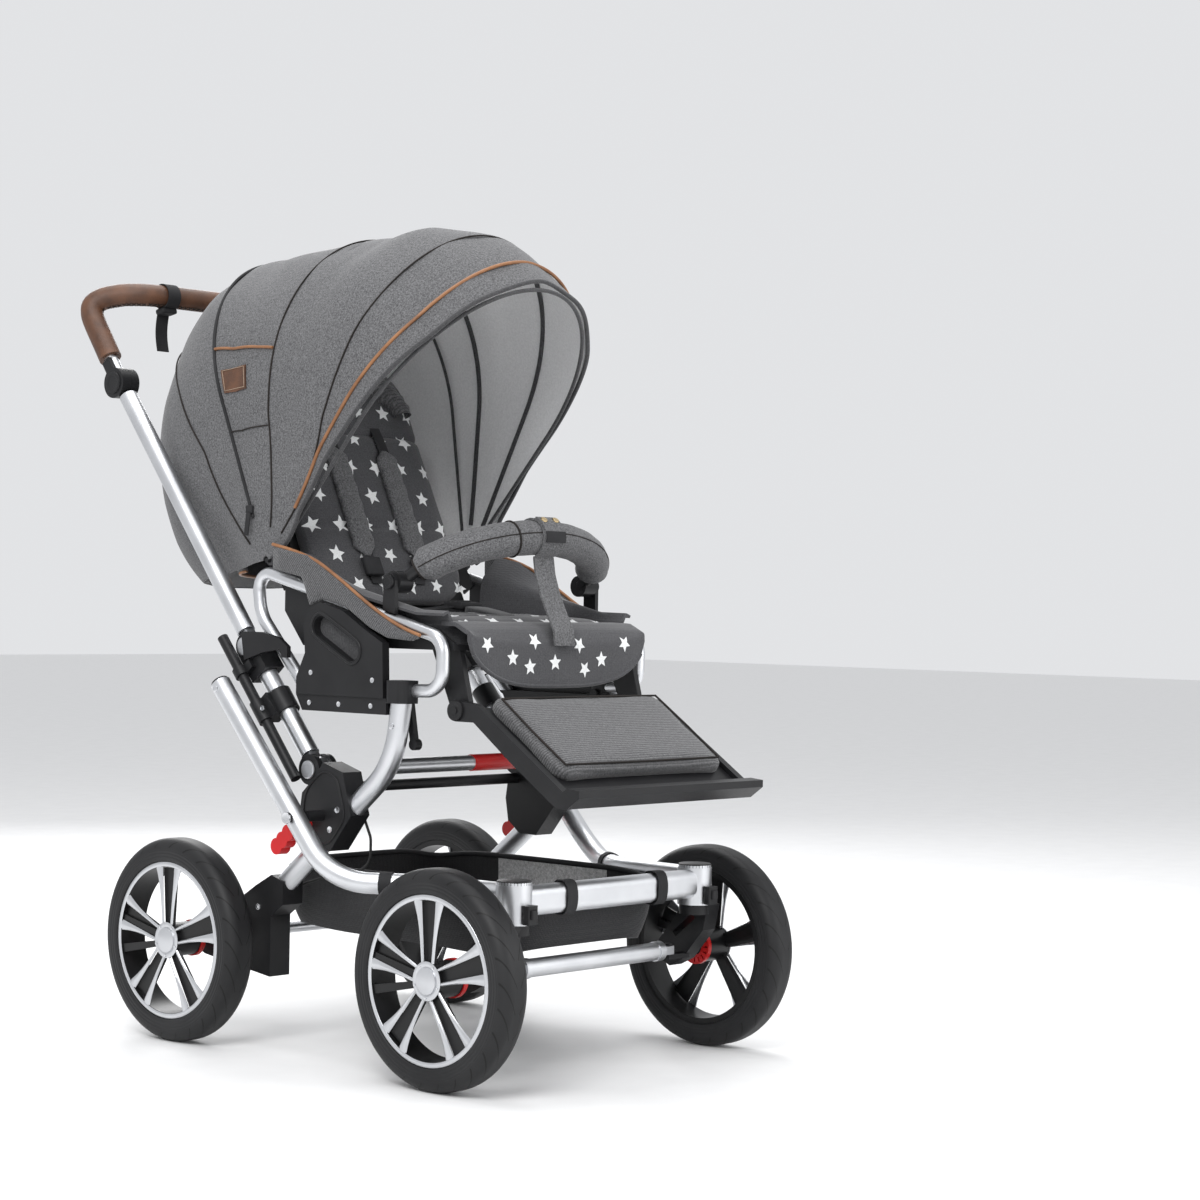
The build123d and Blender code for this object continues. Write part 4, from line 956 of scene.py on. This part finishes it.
flap = laid_grid("rear_flap", 40, 18, flap_form)
modify(flap, "SOLIDIFY", thickness=0.0025, offset=0)
settle(flap, "rear_frame", melange, "canopy_cloth", crease=60)
flap_edge = cord_line("flap_piping", [flap_form(k / 40, 1.0) for k in range(41)], 0.0024)
settle(flap_edge, "rear_frame", piping_leather, "brown_leather")
for piece in (flap, flap_edge):
    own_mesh(piece)

# %% [markdown]
# ## Padded seat
# The seat is a padded liner over a board. Each pad starts as a cube, cut into a fine net, shaped to its
# outline with sides that pull in between the corners, and then blown up a little as cloth under pressure.
# The simulated shape is kept, and the seams are laid on afterwards.

# %% Make one pad
def pad_blank(name, width, length, thick, corner, net=22, crown=0.25):
    """A closed pad, flat underneath, centred on the origin with its length along Y."""
    bpy.ops.object.select_all(action="DESELECT")
    bpy.ops.mesh.primitive_cube_add(size=2)
    pad = bpy.context.object
    pad.name = name
    bpy.ops.object.mode_set(mode="EDIT")
    bpy.ops.mesh.select_all(action="SELECT")
    bpy.ops.mesh.subdivide(number_cuts=net)
    bpy.ops.object.mode_set(mode="OBJECT")
    for vert in pad.data.vertices:
        a, b, c = vert.co
        x, y = a * width / 2, b * length / 2
        cx, cy = width / 2 - corner, length / 2 - corner
        dx, dy = max(abs(x) - cx, 0), max(abs(y) - cy, 0)
        far = sqrt(dx * dx + dy * dy)
        if dx > 0 and dy > 0 and far > 0:
            keep = max(dx, dy) / far
            x = (cx + dx * keep) * (1 if x > 0 else -1)
            y = (cy + dy * keep) * (1 if y > 0 else -1)
        x *= 1 - 0.012 * (1 - b * b)
        y *= 1 - 0.010 * (1 - a * a)
        rim = ((1 - abs(a) ** 8) * (1 - abs(b) ** 8)) ** 0.5 if abs(c) == 1 else 0
        rise = 0.72 + 0.28 * rim + crown * (1 - a * a) * (1 - b * b)
        vert.co = (x, y, thick * 0.5 * (c * rise if c > 0 else c))
    return pad


def swell(pad, cap, voxel=0.006):
    """Pressure simulation as cloth, with the most that any point may move."""
    modify(pad, "REMESH", mode="VOXEL", voxel_size=voxel)
    before = np.array([v.co for v in pad.data.vertices])
    only(pad)
    sim = pad.modifiers.new("cloth", "CLOTH")
    sim.settings.use_pressure = True
    sim.settings.uniform_pressure_force = 4
    sim.settings.effector_weights.gravity = 0
    sim.point_cache.frame_start, sim.point_cache.frame_end = 1, 20
    for step in range(1, 21):
        bpy.context.scene.frame_set(step)
    bpy.ops.object.modifier_apply(modifier=sim.name)
    bpy.context.scene.frame_set(1)
    after = np.array([v.co for v in pad.data.vertices])
    move = after - before
    size = np.linalg.norm(move, axis=1)
    move *= np.minimum(1, cap / np.maximum(size, 1e-9))[:, None]
    pad.data.vertices.foreach_set("co", (before + move).astype(np.float32).ravel())
    pad.data.update()
    print(pad.name, "moved up to", round(float(size.max()), 4))


def smooth_pad(pad, factor=0.5, times=3):
    modify(pad, "SMOOTH", factor=factor, iterations=times)


def dent_channels(pad, way, places, depth, width):
    """Sewn channels: points near each place along way sink on the upper side."""
    way = Vector(way)
    for vert in pad.data.vertices:
        if vert.co.z <= 0:
            continue
        spot = vert.co.dot(way)
        near = min(abs(spot - place) for place in places)
        vert.co.z -= depth * max(0.0, 1 - near / width) ** 2


def place_pad(pad, origin, right, up):
    """Moves a pad so that its X is right, its Y is up and its upper side faces outwards."""
    right, up = Vector(right).normalized(), Vector(up).normalized()
    pad.matrix_world = Matrix.Translation(origin) @ Matrix((right, up, right.cross(up))).transposed().to_4x4()


# %% Backrest
lean = radians(64)
back_up = Vector((0, cos(lean), sin(lean)))
back_out = Vector((0, -sin(lean), cos(lean)))
back_foot = Vector((0, 0.118, 0.612))




def on_back(x, up, out):
    """A point on the backrest: across, up the board, and forward of it."""
    return back_foot + Vector((x, 0, 0)) + back_up * up + back_out * out


back_pad = pad_blank("back_pad", 0.316, 0.428, 0.024, 0.07, 24)
swell(back_pad, 0.005)
smooth_pad(back_pad)
dent_channels(back_pad, (0, 1, 0), (-0.085, 0.075), 0.006, 0.010)
place_pad(back_pad, on_back(0, 0.245, 0.0175), (1, 0, 0), back_up)
settle(back_pad, "backrest", liner, "seat_cloth", "backrest_pad", crease=60)

# %% Head bolster: a ribbed horseshoe round the top of the backrest
def bolster_form(u, v):
    turn = pi * (0.02 + 0.96 * u)
    ring = 2 * pi * v
    fat = 0.021 * (0.75 + 0.25 * sin(turn)) * (1 + 0.06 * cos(30 * turn))
    x = (0.118 + fat * cos(ring)) * cos(turn)
    up = 0.350 + (0.072 + fat * cos(ring)) * sin(turn)
    return on_back(x, up, 0.042 + 0.85 * fat * sin(ring))


bolster = laid_grid("head_bolster", 90, 16, bolster_form)
weld(bolster)
settle(bolster, "backrest", ribbed_pad, "wing_cloth", crease=60)

# %% Seat cushion with its rolled front
seat_pad = pad_blank("seat_pad", 0.350, 0.300, 0.034, 0.045, 22)
swell(seat_pad, 0.005)
smooth_pad(seat_pad)
dent_channels(seat_pad, (0, 1, 0), (-0.075, 0.045), 0.005, 0.010)
for vert in seat_pad.data.vertices:
    fall = max(0.0, -0.095 - vert.co.y)
    vert.co.z -= 5.0 * fall * fall
place_pad(seat_pad, (0, -0.050, 0.6155), (1, 0, 0), (0, 0.9998, 0.0201))
settle(seat_pad, "rear_frame", liner, "seat_cloth", "seat_cushion", crease=60)


def apron_form(u, v):
    """The liner's front edge, rolled over the seat and hanging in a shallow curve with rounded corners."""
    across = 2 * u - 1
    drop = 0.014 + 0.064 * (1 - abs(across) ** 3.2) ** 0.6
    below = drop * max(0.0, v - 0.3) / 0.7
    y = between(v, [0, 0.15, 0.3, 0.45, 1], [-0.168, -0.196, -0.2145, -0.2225, -0.2235])
    z = between(v, [0, 0.15, 0.3], [0.6275, 0.6265, 0.6175]) - below
    wave = 0.0015 * sin(5 * pi * u) * v
    return Vector((0.183 * across, y - wave, z))


apron = laid_grid("seat_apron", 60, 26, apron_form)
modify(apron, "SOLIDIFY", thickness=0.006, offset=0)
modify(apron, "BEVEL", width=0.002, segments=2)
settle(apron, "rear_frame", liner, "seat_cloth", crease=60)
hem = [apron_form(k / 48, 1.0) + Vector((0, -0.001, 0)) for k in range(1, 48)]
settle(cord_line("apron_hem", hem, 0.0032), "rear_frame", liner, "seat_cloth")

# %% Stars printed on the liner: plain five pointed stars, pressed onto the pad below them
def star(spot, right, up, size, turn):
    """A flat star of size, laid just above spot."""
    bpy.ops.object.select_all(action="DESELECT")
    bpy.ops.mesh.primitive_circle_add(vertices=10, radius=1, fill_type="TRIFAN")
    obj = bpy.context.object
    right, up = Vector(right).normalized(), Vector(up).normalized()
    for k, vert in enumerate(obj.data.vertices):
        flat = Vector((vert.co.x, vert.co.y))
        reach = flat.length * (size if k % 2 == 0 else size * 0.46)
        aim = atan2(flat.y, flat.x) + turn
        vert.co = Vector(spot) + right * reach * cos(aim) + up * reach * sin(aim)
    modify(obj, "SUBSURF", subdivision_type="SIMPLE", levels=3, render_levels=3)
    return obj


def press_on(obj, target, way, gap=0.0006):
    """Drops a print on its cloth along way and keeps it just above."""
    down = -Vector(way).normalized()
    tree = bpy.context.evaluated_depsgraph_get()
    base = target.evaluated_get(tree)
    for vert in obj.data.vertices:
        hit, spot, normal, index = base.ray_cast(vert.co - down * 0.06, down)
        if hit:
            vert.co = spot - down * gap


back_stars = []
for row in range(8):
    for column in range(6):
        x = -0.135 + 0.054 * column + (0.027 if row % 2 else 0)
        up = 0.060 + 0.050 * row
        if abs(x) < 0.150 and up < 0.44:
            size = 0.0125 + 0.003 * ((row * 3 + column * 5) % 4) / 3
            turn = (row * 1.7 + column * 2.3) % 1.26
            back_stars.append(star(on_back(x, up, 0.03), (1, 0, 0), back_up, size, turn))
stars_back = join("back_stars", back_stars)
bpy.context.view_layer.update()
press_on(stars_back, back_pad, back_out)
settle(stars_back, "backrest", star_print, "seat_cloth")
seat_stars = []
for row in range(6):
    for column in range(6):
        x = -0.140 + 0.056 * column + (0.028 if row % 2 else 0)
        y = -0.175 + 0.050 * row
        if abs(x) < 0.160 and y < 0.09:
            size = 0.0125 + 0.003 * ((row * 5 + column * 3) % 4) / 3
            turn = (row * 2.1 + column * 1.3) % 1.26
            seat_stars.append(star((x, y, 0.64), (1, 0, 0), (0, 1, 0), size, turn))
stars_seat = join("seat_stars", seat_stars)
bpy.context.view_layer.update()
press_on(stars_seat, seat_pad, (0, 0, 1))
settle(stars_seat, "rear_frame", star_print, "seat_cloth")
apron_stars = []
star_places = ((-0.150, 0.599), (-0.098, 0.580), (-0.052, 0.604), (-0.012, 0.573), (0.040, 0.598),
               (0.088, 0.577), (0.137, 0.600), (-0.062, 0.567), (0.052, 0.563))
for k, (x, z) in enumerate(star_places):
    apron_stars.append(star((x, -0.24, z), (1, 0, 0), (0, 0, 1), 0.0125, (k * 1.9) % 1.26))
stars_apron = join("apron_stars", apron_stars)
bpy.context.view_layer.update()
press_on(stars_apron, apron, (0, -1, 0))
settle(stars_apron, "rear_frame", star_print, "seat_cloth")

# %% Side liners: from the cushion up over the tub wall to the top of each wing
wing_top_y = [-0.165, -0.130, -0.067, 0.0, 0.070, 0.150]
wing_top_z = [0.609, 0.617, 0.646, 0.685, 0.722, 0.736]
wing_low_y = [-0.165, -0.150, -0.101, -0.064, -0.014, 0.036, 0.064, 0.080, 0.150]
wing_low_z = [0.606, 0.601, 0.604, 0.618, 0.646, 0.657, 0.648, 0.688, 0.700]


def side_liner(sign):
    def form(u, v):
        y = -0.185 + 0.300 * u
        top = between(y, wing_top_y, wing_top_z) - 0.002
        inner_low = 0.628 + 0.0201 * (y + 0.05)
        outer = between(y, [-0.185, -0.12, -0.06, 0.0], [0.196, 0.200, 0.208, 0.2145])
        crest = max(inner_low + 0.010, between(y, [-0.170, 0.100], [0.628, 0.688]))
        rows = [0, 0.45, 0.62, 1]
        x = between(v, rows, [0.1775, 0.1835, 0.188, outer])
        z = between(v, rows, [inner_low, crest - 0.006, crest + 0.004, max(top, crest + 0.004)])
        bulge = 0.004 * sin(pi * v)
        return Vector((sign * (x - bulge * 0.6), y, z + bulge))
    sheet = laid_grid("side_liner", 36, 16, form)
    modify(sheet, "SOLIDIFY", thickness=0.004, offset=0)
    return sheet


for side, sign in SIDES:
    sheet = side_liner(sign)
    sheet.name = f"side_liner_{side}"
    settle(sheet, "rear_frame", liner, "seat_cloth", crease=60)


# %% Wings: padded twill with leather piping along the top edge
def wing(sign):
    def form(u, v):
        y = -0.163 + 0.311 * u
        low = between(y, wing_low_y, wing_low_z)
        top = between(y, wing_top_y, wing_top_z)
        ring = 2 * pi * v
        half = max((top - low) / 2 - 0.001, 0.002)
        ends = min(1.0, 14 * u + 0.15, 14 * (1 - u) + 0.15)
        z = (top + low) / 2 - half * cos(ring)
        swell_out = (abs(sin(ring)) ** 0.55) * (1 if sin(ring) > 0 else -1)
        x = 0.2208 + 0.0056 * ends * swell_out
        return Vector((sign * x, y, z))
    body = laid_grid("wing", 48, 32, form)
    weld(body)
    close_ends(body)
    return body


wings, trims = [], []
for side, sign in SIDES:
    wings.append(wing(sign))
    edge = [(sign * 0.2208, y, z + 0.0012) for y, z in zip(wing_top_y, wing_top_z)]
    trims.append(cord_line("wing_piping", edge, 0.0025))
wing_pair = join("seat_wings_cloth", wings)
settle(wing_pair, "rear_frame", twill, "wing_cloth", "seat_wings", crease=60)
settle(join("wing_piping", trims), "rear_frame", piping_leather, "brown_leather")

# %% [markdown]
# ## Harness
# Two padded shoulder straps, a crotch strap and waist straps meet at black buckles. Webbing is flat and thin,
# so it is laid directly rather than simulated.

# %% Shoulder pads and their webbing
def strap_pad(sign):
    def form(u, v):
        ring = 2 * pi * u
        up = 0.105 + 0.185 * v
        ends = min(1.0, 9 * v + 0.25, 9 * (1 - v) + 0.25)
        x = sign * 0.052 + 0.0205 * ends * cos(ring)
        out = 0.0405 + 0.0065 * ends * (abs(sin(ring)) ** 0.6) * (1 if sin(ring) > 0 else -1)
        return on_back(x, up, out + 0.0012 * cos(v * 40))
    pad = laid_grid("shoulder_pad", 28, 44, form)
    weld(pad)
    close_ends(pad)
    return pad


def webbing(name, points, wide, across_way, thick=0.0016):
    """A flat strap through points, wide along across_way."""
    spots = [Vector(p) for p in points]
    sizes = [0]
    for a, b in zip(spots, spots[1:]):
        sizes.append(sizes[-1] + (b - a).length)
    side = Vector(across_way).normalized()

    def form(u, v):
        far = v * sizes[-1]
        spot = Vector([between(far, sizes, [p[k] for p in spots]) for k in range(3)])
        return spot + side * wide * (u - 0.5)
    strip = laid_grid(name, 4, 8 * (len(points) - 1), form)
    modify(strip, "SMOOTH", factor=0.5, iterations=4)
    modify(strip, "SOLIDIFY", thickness=thick, offset=0)
    return strip


pads = [strap_pad(1), strap_pad(-1)]
shoulder = join("shoulder_pads", pads)
settle(shoulder, "backrest", melange, "webbing", "shoulder_straps", crease=60)
straps = []
for side, sign in SIDES:
    upper = [(0.052, 0.345, 0.034), (0.052, 0.31, 0.039), (0.052, 0.27, 0.0415)]
    lower = [(0.052, 0.12, 0.0415), (0.050, 0.09, 0.040), (0.044, 0.060, 0.036)]
    for run in (upper, lower):
        spots = [on_back(sign * x, up, out) for x, up, out in run]
        straps.append(webbing("shoulder_web", spots, 0.024, (1, 0, 0)))
    buckle = block("shoulder_buckle", (0.034, 0.030, 0.009), on_back(sign * 0.051, 0.086, 0.0435),
                   (radians(64), 0, 0), 0.3)
    straps.append(buckle)
settle(join("shoulder_webbing", straps), "backrest", web_black, "webbing")

# %% Waist straps, crotch pad and buckle
belts = []
for side, sign in SIDES:
    belt = [(0.155, 0.055, 0.6315), (0.11, 0.035, 0.6385), (0.06, 0.0, 0.644), (0.022, -0.025, 0.6505)]
    belts.append(webbing("waist_web", [(sign * x, y, z) for x, y, z in belt], 0.024, (0, 1, 0.1)))
    place = (sign * 0.095, 0.026, 0.6425)
    belts.append(block("waist_slider", (0.028, 0.034, 0.007), place, (0, 0, radians(-sign * 35)), 0.3))
belts.append(block("harness_buckle", (0.046, 0.040, 0.012), (0, -0.026, 0.652), (radians(4), 0, 0), 0.35))
belts.append(button("buckle_button", (0, -0.028, 0.6585), (0, 0, 1), 0.011, 0.003, dish=0.0006))
settle(join("waist_webbing", belts), "rear_frame", web_black, "webbing", "waist_harness")
crotch = pad_blank("crotch_pad", 0.044, 0.080, 0.010, 0.012, 10)
place_pad(crotch, (0, -0.085, 0.6405), (1, 0, 0), (0, 0.985, 0.17))
modify(crotch, "SUBSURF", levels=1, render_levels=1)
settle(crotch, "rear_frame", charcoal, "webbing", crease=60)

# %% [markdown]
# ## Bumper bar
# A fat padded sleeve on a bent bar, with a sewn ring off centre and a leg strap that wraps the middle and
# drops to the seat. The sleeve follows half an ellipse in a plane tilted up at the front.

# %% Sleeve
lift = radians(37)
reach_way = Vector((0, -cos(lift), sin(lift)))
bumper_foot = Vector((0, -0.092, 0.684))
bumper_up = Vector((1, 0, 0)).cross(reach_way) * -1


def on_bumper(turn, ring, fat):
    """A point on a tube of radius fat round the bumper's line."""
    core = bumper_foot + Vector((0.186 * cos(turn), 0, 0)) + reach_way * 0.113 * sin(turn)
    ahead = (Vector((-0.186 * sin(turn), 0, 0)) + reach_way * 0.113 * cos(turn)).normalized()
    out = ahead.cross(bumper_up).normalized()
    return core + out * fat * cos(ring) + bumper_up * fat * sin(ring)


def sleeve_form(u, v):
    turn = radians(15.5 + 149 * u)
    taper = min(1.0, 0.62 + 9 * u, 0.62 + 9 * (1 - u))
    fat = 0.0252 * taper * (1 + 0.010 * sin(26 * turn))
    return on_bumper(turn, 2 * pi * v, fat)


sleeve = laid_grid("bumper_padding", 110, 28, sleeve_form)
weld(sleeve)
close_ends(sleeve)
settle(sleeve, "bumper", melange, "bumper_cloth", "bumper_sleeve", crease=50)
rings = []
for spot in (15.8, 108, 164.2):
    fat = 0.0258 if 20 < spot < 160 else 0.0165
    circle = [on_bumper(radians(spot), 2 * pi * k / 20, fat) for k in range(20)]
    rings.append(cord_line("bumper_ring", circle, 0.0016, closed=True))
inner_seam = [on_bumper(radians(18 + 144 * k / 40), radians(200), 0.0254) for k in range(41)]
rings.append(cord_line("bumper_seam", inner_seam, 0.0009))
settle(join("bumper_rings", rings), "bumper", thread_dark, "webbing")

# %% Leg strap round the middle of the bumper, with two snaps and a bare band
core = bumper_foot + reach_way * 0.113


def round_bumper(first, last, reach, count):
    """Points round the bumper's middle, from one angle to another; 0 is ahead and 90 below."""
    turns = np.linspace(radians(first), radians(last), count)
    return [core + (reach_way * cos(a) - bumper_up * sin(a)) * reach for a in turns]


leg_wrap = webbing("leg_wrap", round_bumper(-150, 110, 0.0272, 15), 0.048, (1, 0, 0), 0.003)
settle(leg_wrap, "bumper", melange, "bumper_cloth", crease=60)
down_line = [(0, -0.1885, 0.7265), (0, -0.1925, 0.700), (0, -0.204, 0.668), (0, -0.219, 0.640),
             (0, -0.2315, 0.618), (0, -0.2335, 0.596)]
leg_strap = webbing("leg_strap", down_line, 0.048, (1, 0, 0), 0.003)
settle(leg_strap, "rear_frame", melange, "bumper_cloth", crease=60)
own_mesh(leg_strap)
bare = webbing("bare_band", round_bumper(50, 20, 0.0318, 5), 0.047, (1, 0, 0), 0.0016)
settle(bare, "bumper", web_black, "webbing", crease=60)
strap_flap = webbing("strap_flap", round_bumper(52, -40, 0.0300, 9), 0.046, (1, 0, 0), 0.0022)
settle(strap_flap, "bumper", melange, "bumper_cloth", crease=60)
snap_way = reach_way * cos(radians(-18)) + bumper_up * sin(radians(18))
snaps = []
for x in (-0.012, 0.012):
    place = core + snap_way * 0.0320 + Vector((x, 0, 0))
    snaps.append(button("snap", place, snap_way, 0.0052, 0.0025, dish=0.0006, sides=20))
settle(join("strap_snaps", snaps), "bumper", brass, "steel")

# %% [markdown]
# ## Footrest pad
# A firm ribbed mat with a stitched border on the plastic frame.

# %% Footrest
rest_up = Vector((0, 152, 104.5)).normalized()
rest_pad = pad_blank("footrest_mat", 0.352, 0.176, 0.022, 0.022, 18, crown=0.12)
swell(rest_pad, 0.004)
smooth_pad(rest_pad)
rest_mid = Vector((0, -0.3215, 0.4723))
place_pad(rest_pad, rest_mid, (1, 0, 0), rest_up)
settle(rest_pad, "footrest", ribbed_pad, "wing_cloth", "footrest_pad", crease=60)


def on_rest(x, along, out=0.0125):
    return rest_mid + Vector((x, 0, 0)) + rest_up * along + Vector((1, 0, 0)).cross(rest_up) * out


frame_line = []
for x, along in ((-0.161, -0.074), (0, -0.075), (0.161, -0.074), (0.163, 0), (0.161, 0.074), (0, 0.075),
                 (-0.161, 0.074), (-0.163, 0)):
    frame_line.append(on_rest(x, along, 0.0130))
settle(cord_line("mat_border", frame_line, 0.0016, closed=True, order=2), "footrest", thread_dark, "webbing")
slots = [block("lip_slot", (0.018, 0.003, 0.002), (x, -0.4095, 0.4085), (radians(34), 0, 0)) for x in
         (-0.15, -0.11, -0.07, -0.03, 0.01, 0.05, 0.09, 0.13)]
settle(join("lip_slots", slots), "footrest", web_black, "black_plastic")

# %% [markdown]
# ## Basket
# A soft net basket hangs from the frame by its bound rim. It is one lofted shell: the rim, walls that lean in,
# and a bottom that waves a little.

# %% Net shell
def basket_form(u, v):
    turn = 2 * pi * u
    depth = min(v / 0.55, 1.0)
    shrink = 1.0 if v < 0.55 else 1 - (v - 0.55) / 0.45
    power = 0.30
    cx = abs(cos(turn)) ** power * (1 if cos(turn) > 0 else -1)
    cy = abs(sin(turn)) ** power * (1 if sin(turn) > 0 else -1)
    wide = (0.1685 - 0.012 * depth) * shrink
    long = (0.2460 - 0.014 * depth) * shrink
    rim = 0.2635 - 0.010 * (1 - cx ** 6) * (1 - abs(cy) ** 6) - 0.006 * sin(2 * turn) ** 2
    floor_z = 0.171 + 0.004 * sin(3 * turn) * shrink * depth
    belly = 0.006 * sin(pi * depth) * (1 if v < 0.55 else 0)
    z = rim + (floor_z - rim) * depth
    return Vector(((wide + belly) * cx, -0.0475 + (long + belly) * cy, z))


basket = laid_grid("basket_net", 120, 44, basket_form)
weld(basket)
modify(basket, "SOLIDIFY", thickness=0.0016, offset=-1)
basket.data.materials.append(net)
basket.data.materials.append(pale_net)
for face in basket.data.polygons:
    inside = face.normal.x < -0.5
    if inside and face.center.x > 0.14 and abs(face.center.y + 0.07) < 0.10 and face.center.z > 0.212:
        face.material_index = 1
settle(basket, "front_frame", None, "black_mesh", "basket", crease=60)
rim_line = [basket_form(k / 72, 0.0) + Vector((0, 0, 0.001)) for k in range(72)]
settle(cord_line("basket_rim", rim_line, 0.0042, closed=True), "front_frame", web_black, "webbing")
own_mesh(basket)

# %% Webbing loops that hold the basket
loops = []
for x in (-0.095, 0.095):
    def loop_form(u, v):
        turn = 2 * pi * u
        y = -0.331 + 0.0148 * (abs(cos(turn)) ** 0.6) * (1 if cos(turn) > 0 else -1)
        z = 0.253 + 0.0228 * sin(turn)
        return Vector((x + 0.020 * (v - 0.5), y, z))
    loop = laid_grid("bar_loop", 40, 3, loop_form)
    weld(loop)
    modify(loop, "SOLIDIFY", thickness=0.0016, offset=1)
    loops.append(loop)
    tail_line = [(x, -0.317, 0.262), (x, -0.305, 0.262), (x, -0.292, 0.260)]
    loops.append(webbing("loop_tail", tail_line, 0.020, (1, 0, 0)))
rail_way = Vector((-77, -118, 0)).normalized()
for side, sign in SIDES:
    way = Vector((sign * rail_way.x, rail_way.y, 0))
    aside = Vector((way.y, -way.x, 0))
    middle = Vector((sign * 0.2378, -0.112, 0.262)) + way * 0.009

    def rail_form(u, v):
        turn = 2 * pi * u
        return middle + way * 0.018 * (v - 0.5) + (aside * cos(turn) + Vector((0, 0, 1)) * sin(turn)) * 0.0154
    loop = laid_grid("rail_loop", 32, 3, rail_form)
    weld(loop)
    modify(loop, "SOLIDIFY", thickness=0.0016, offset=1)
    loops.append(loop)
    tail_line = [(sign * 0.217, -0.118, 0.262), (sign * 0.195, -0.118, 0.2615), (sign * 0.169, -0.118, 0.260)]
    loops.append(webbing("rail_tail", tail_line, 0.018, (0, 1, 0)))
settle(join("basket_loops", loops), "front_frame", web_black, "webbing", "basket_straps")
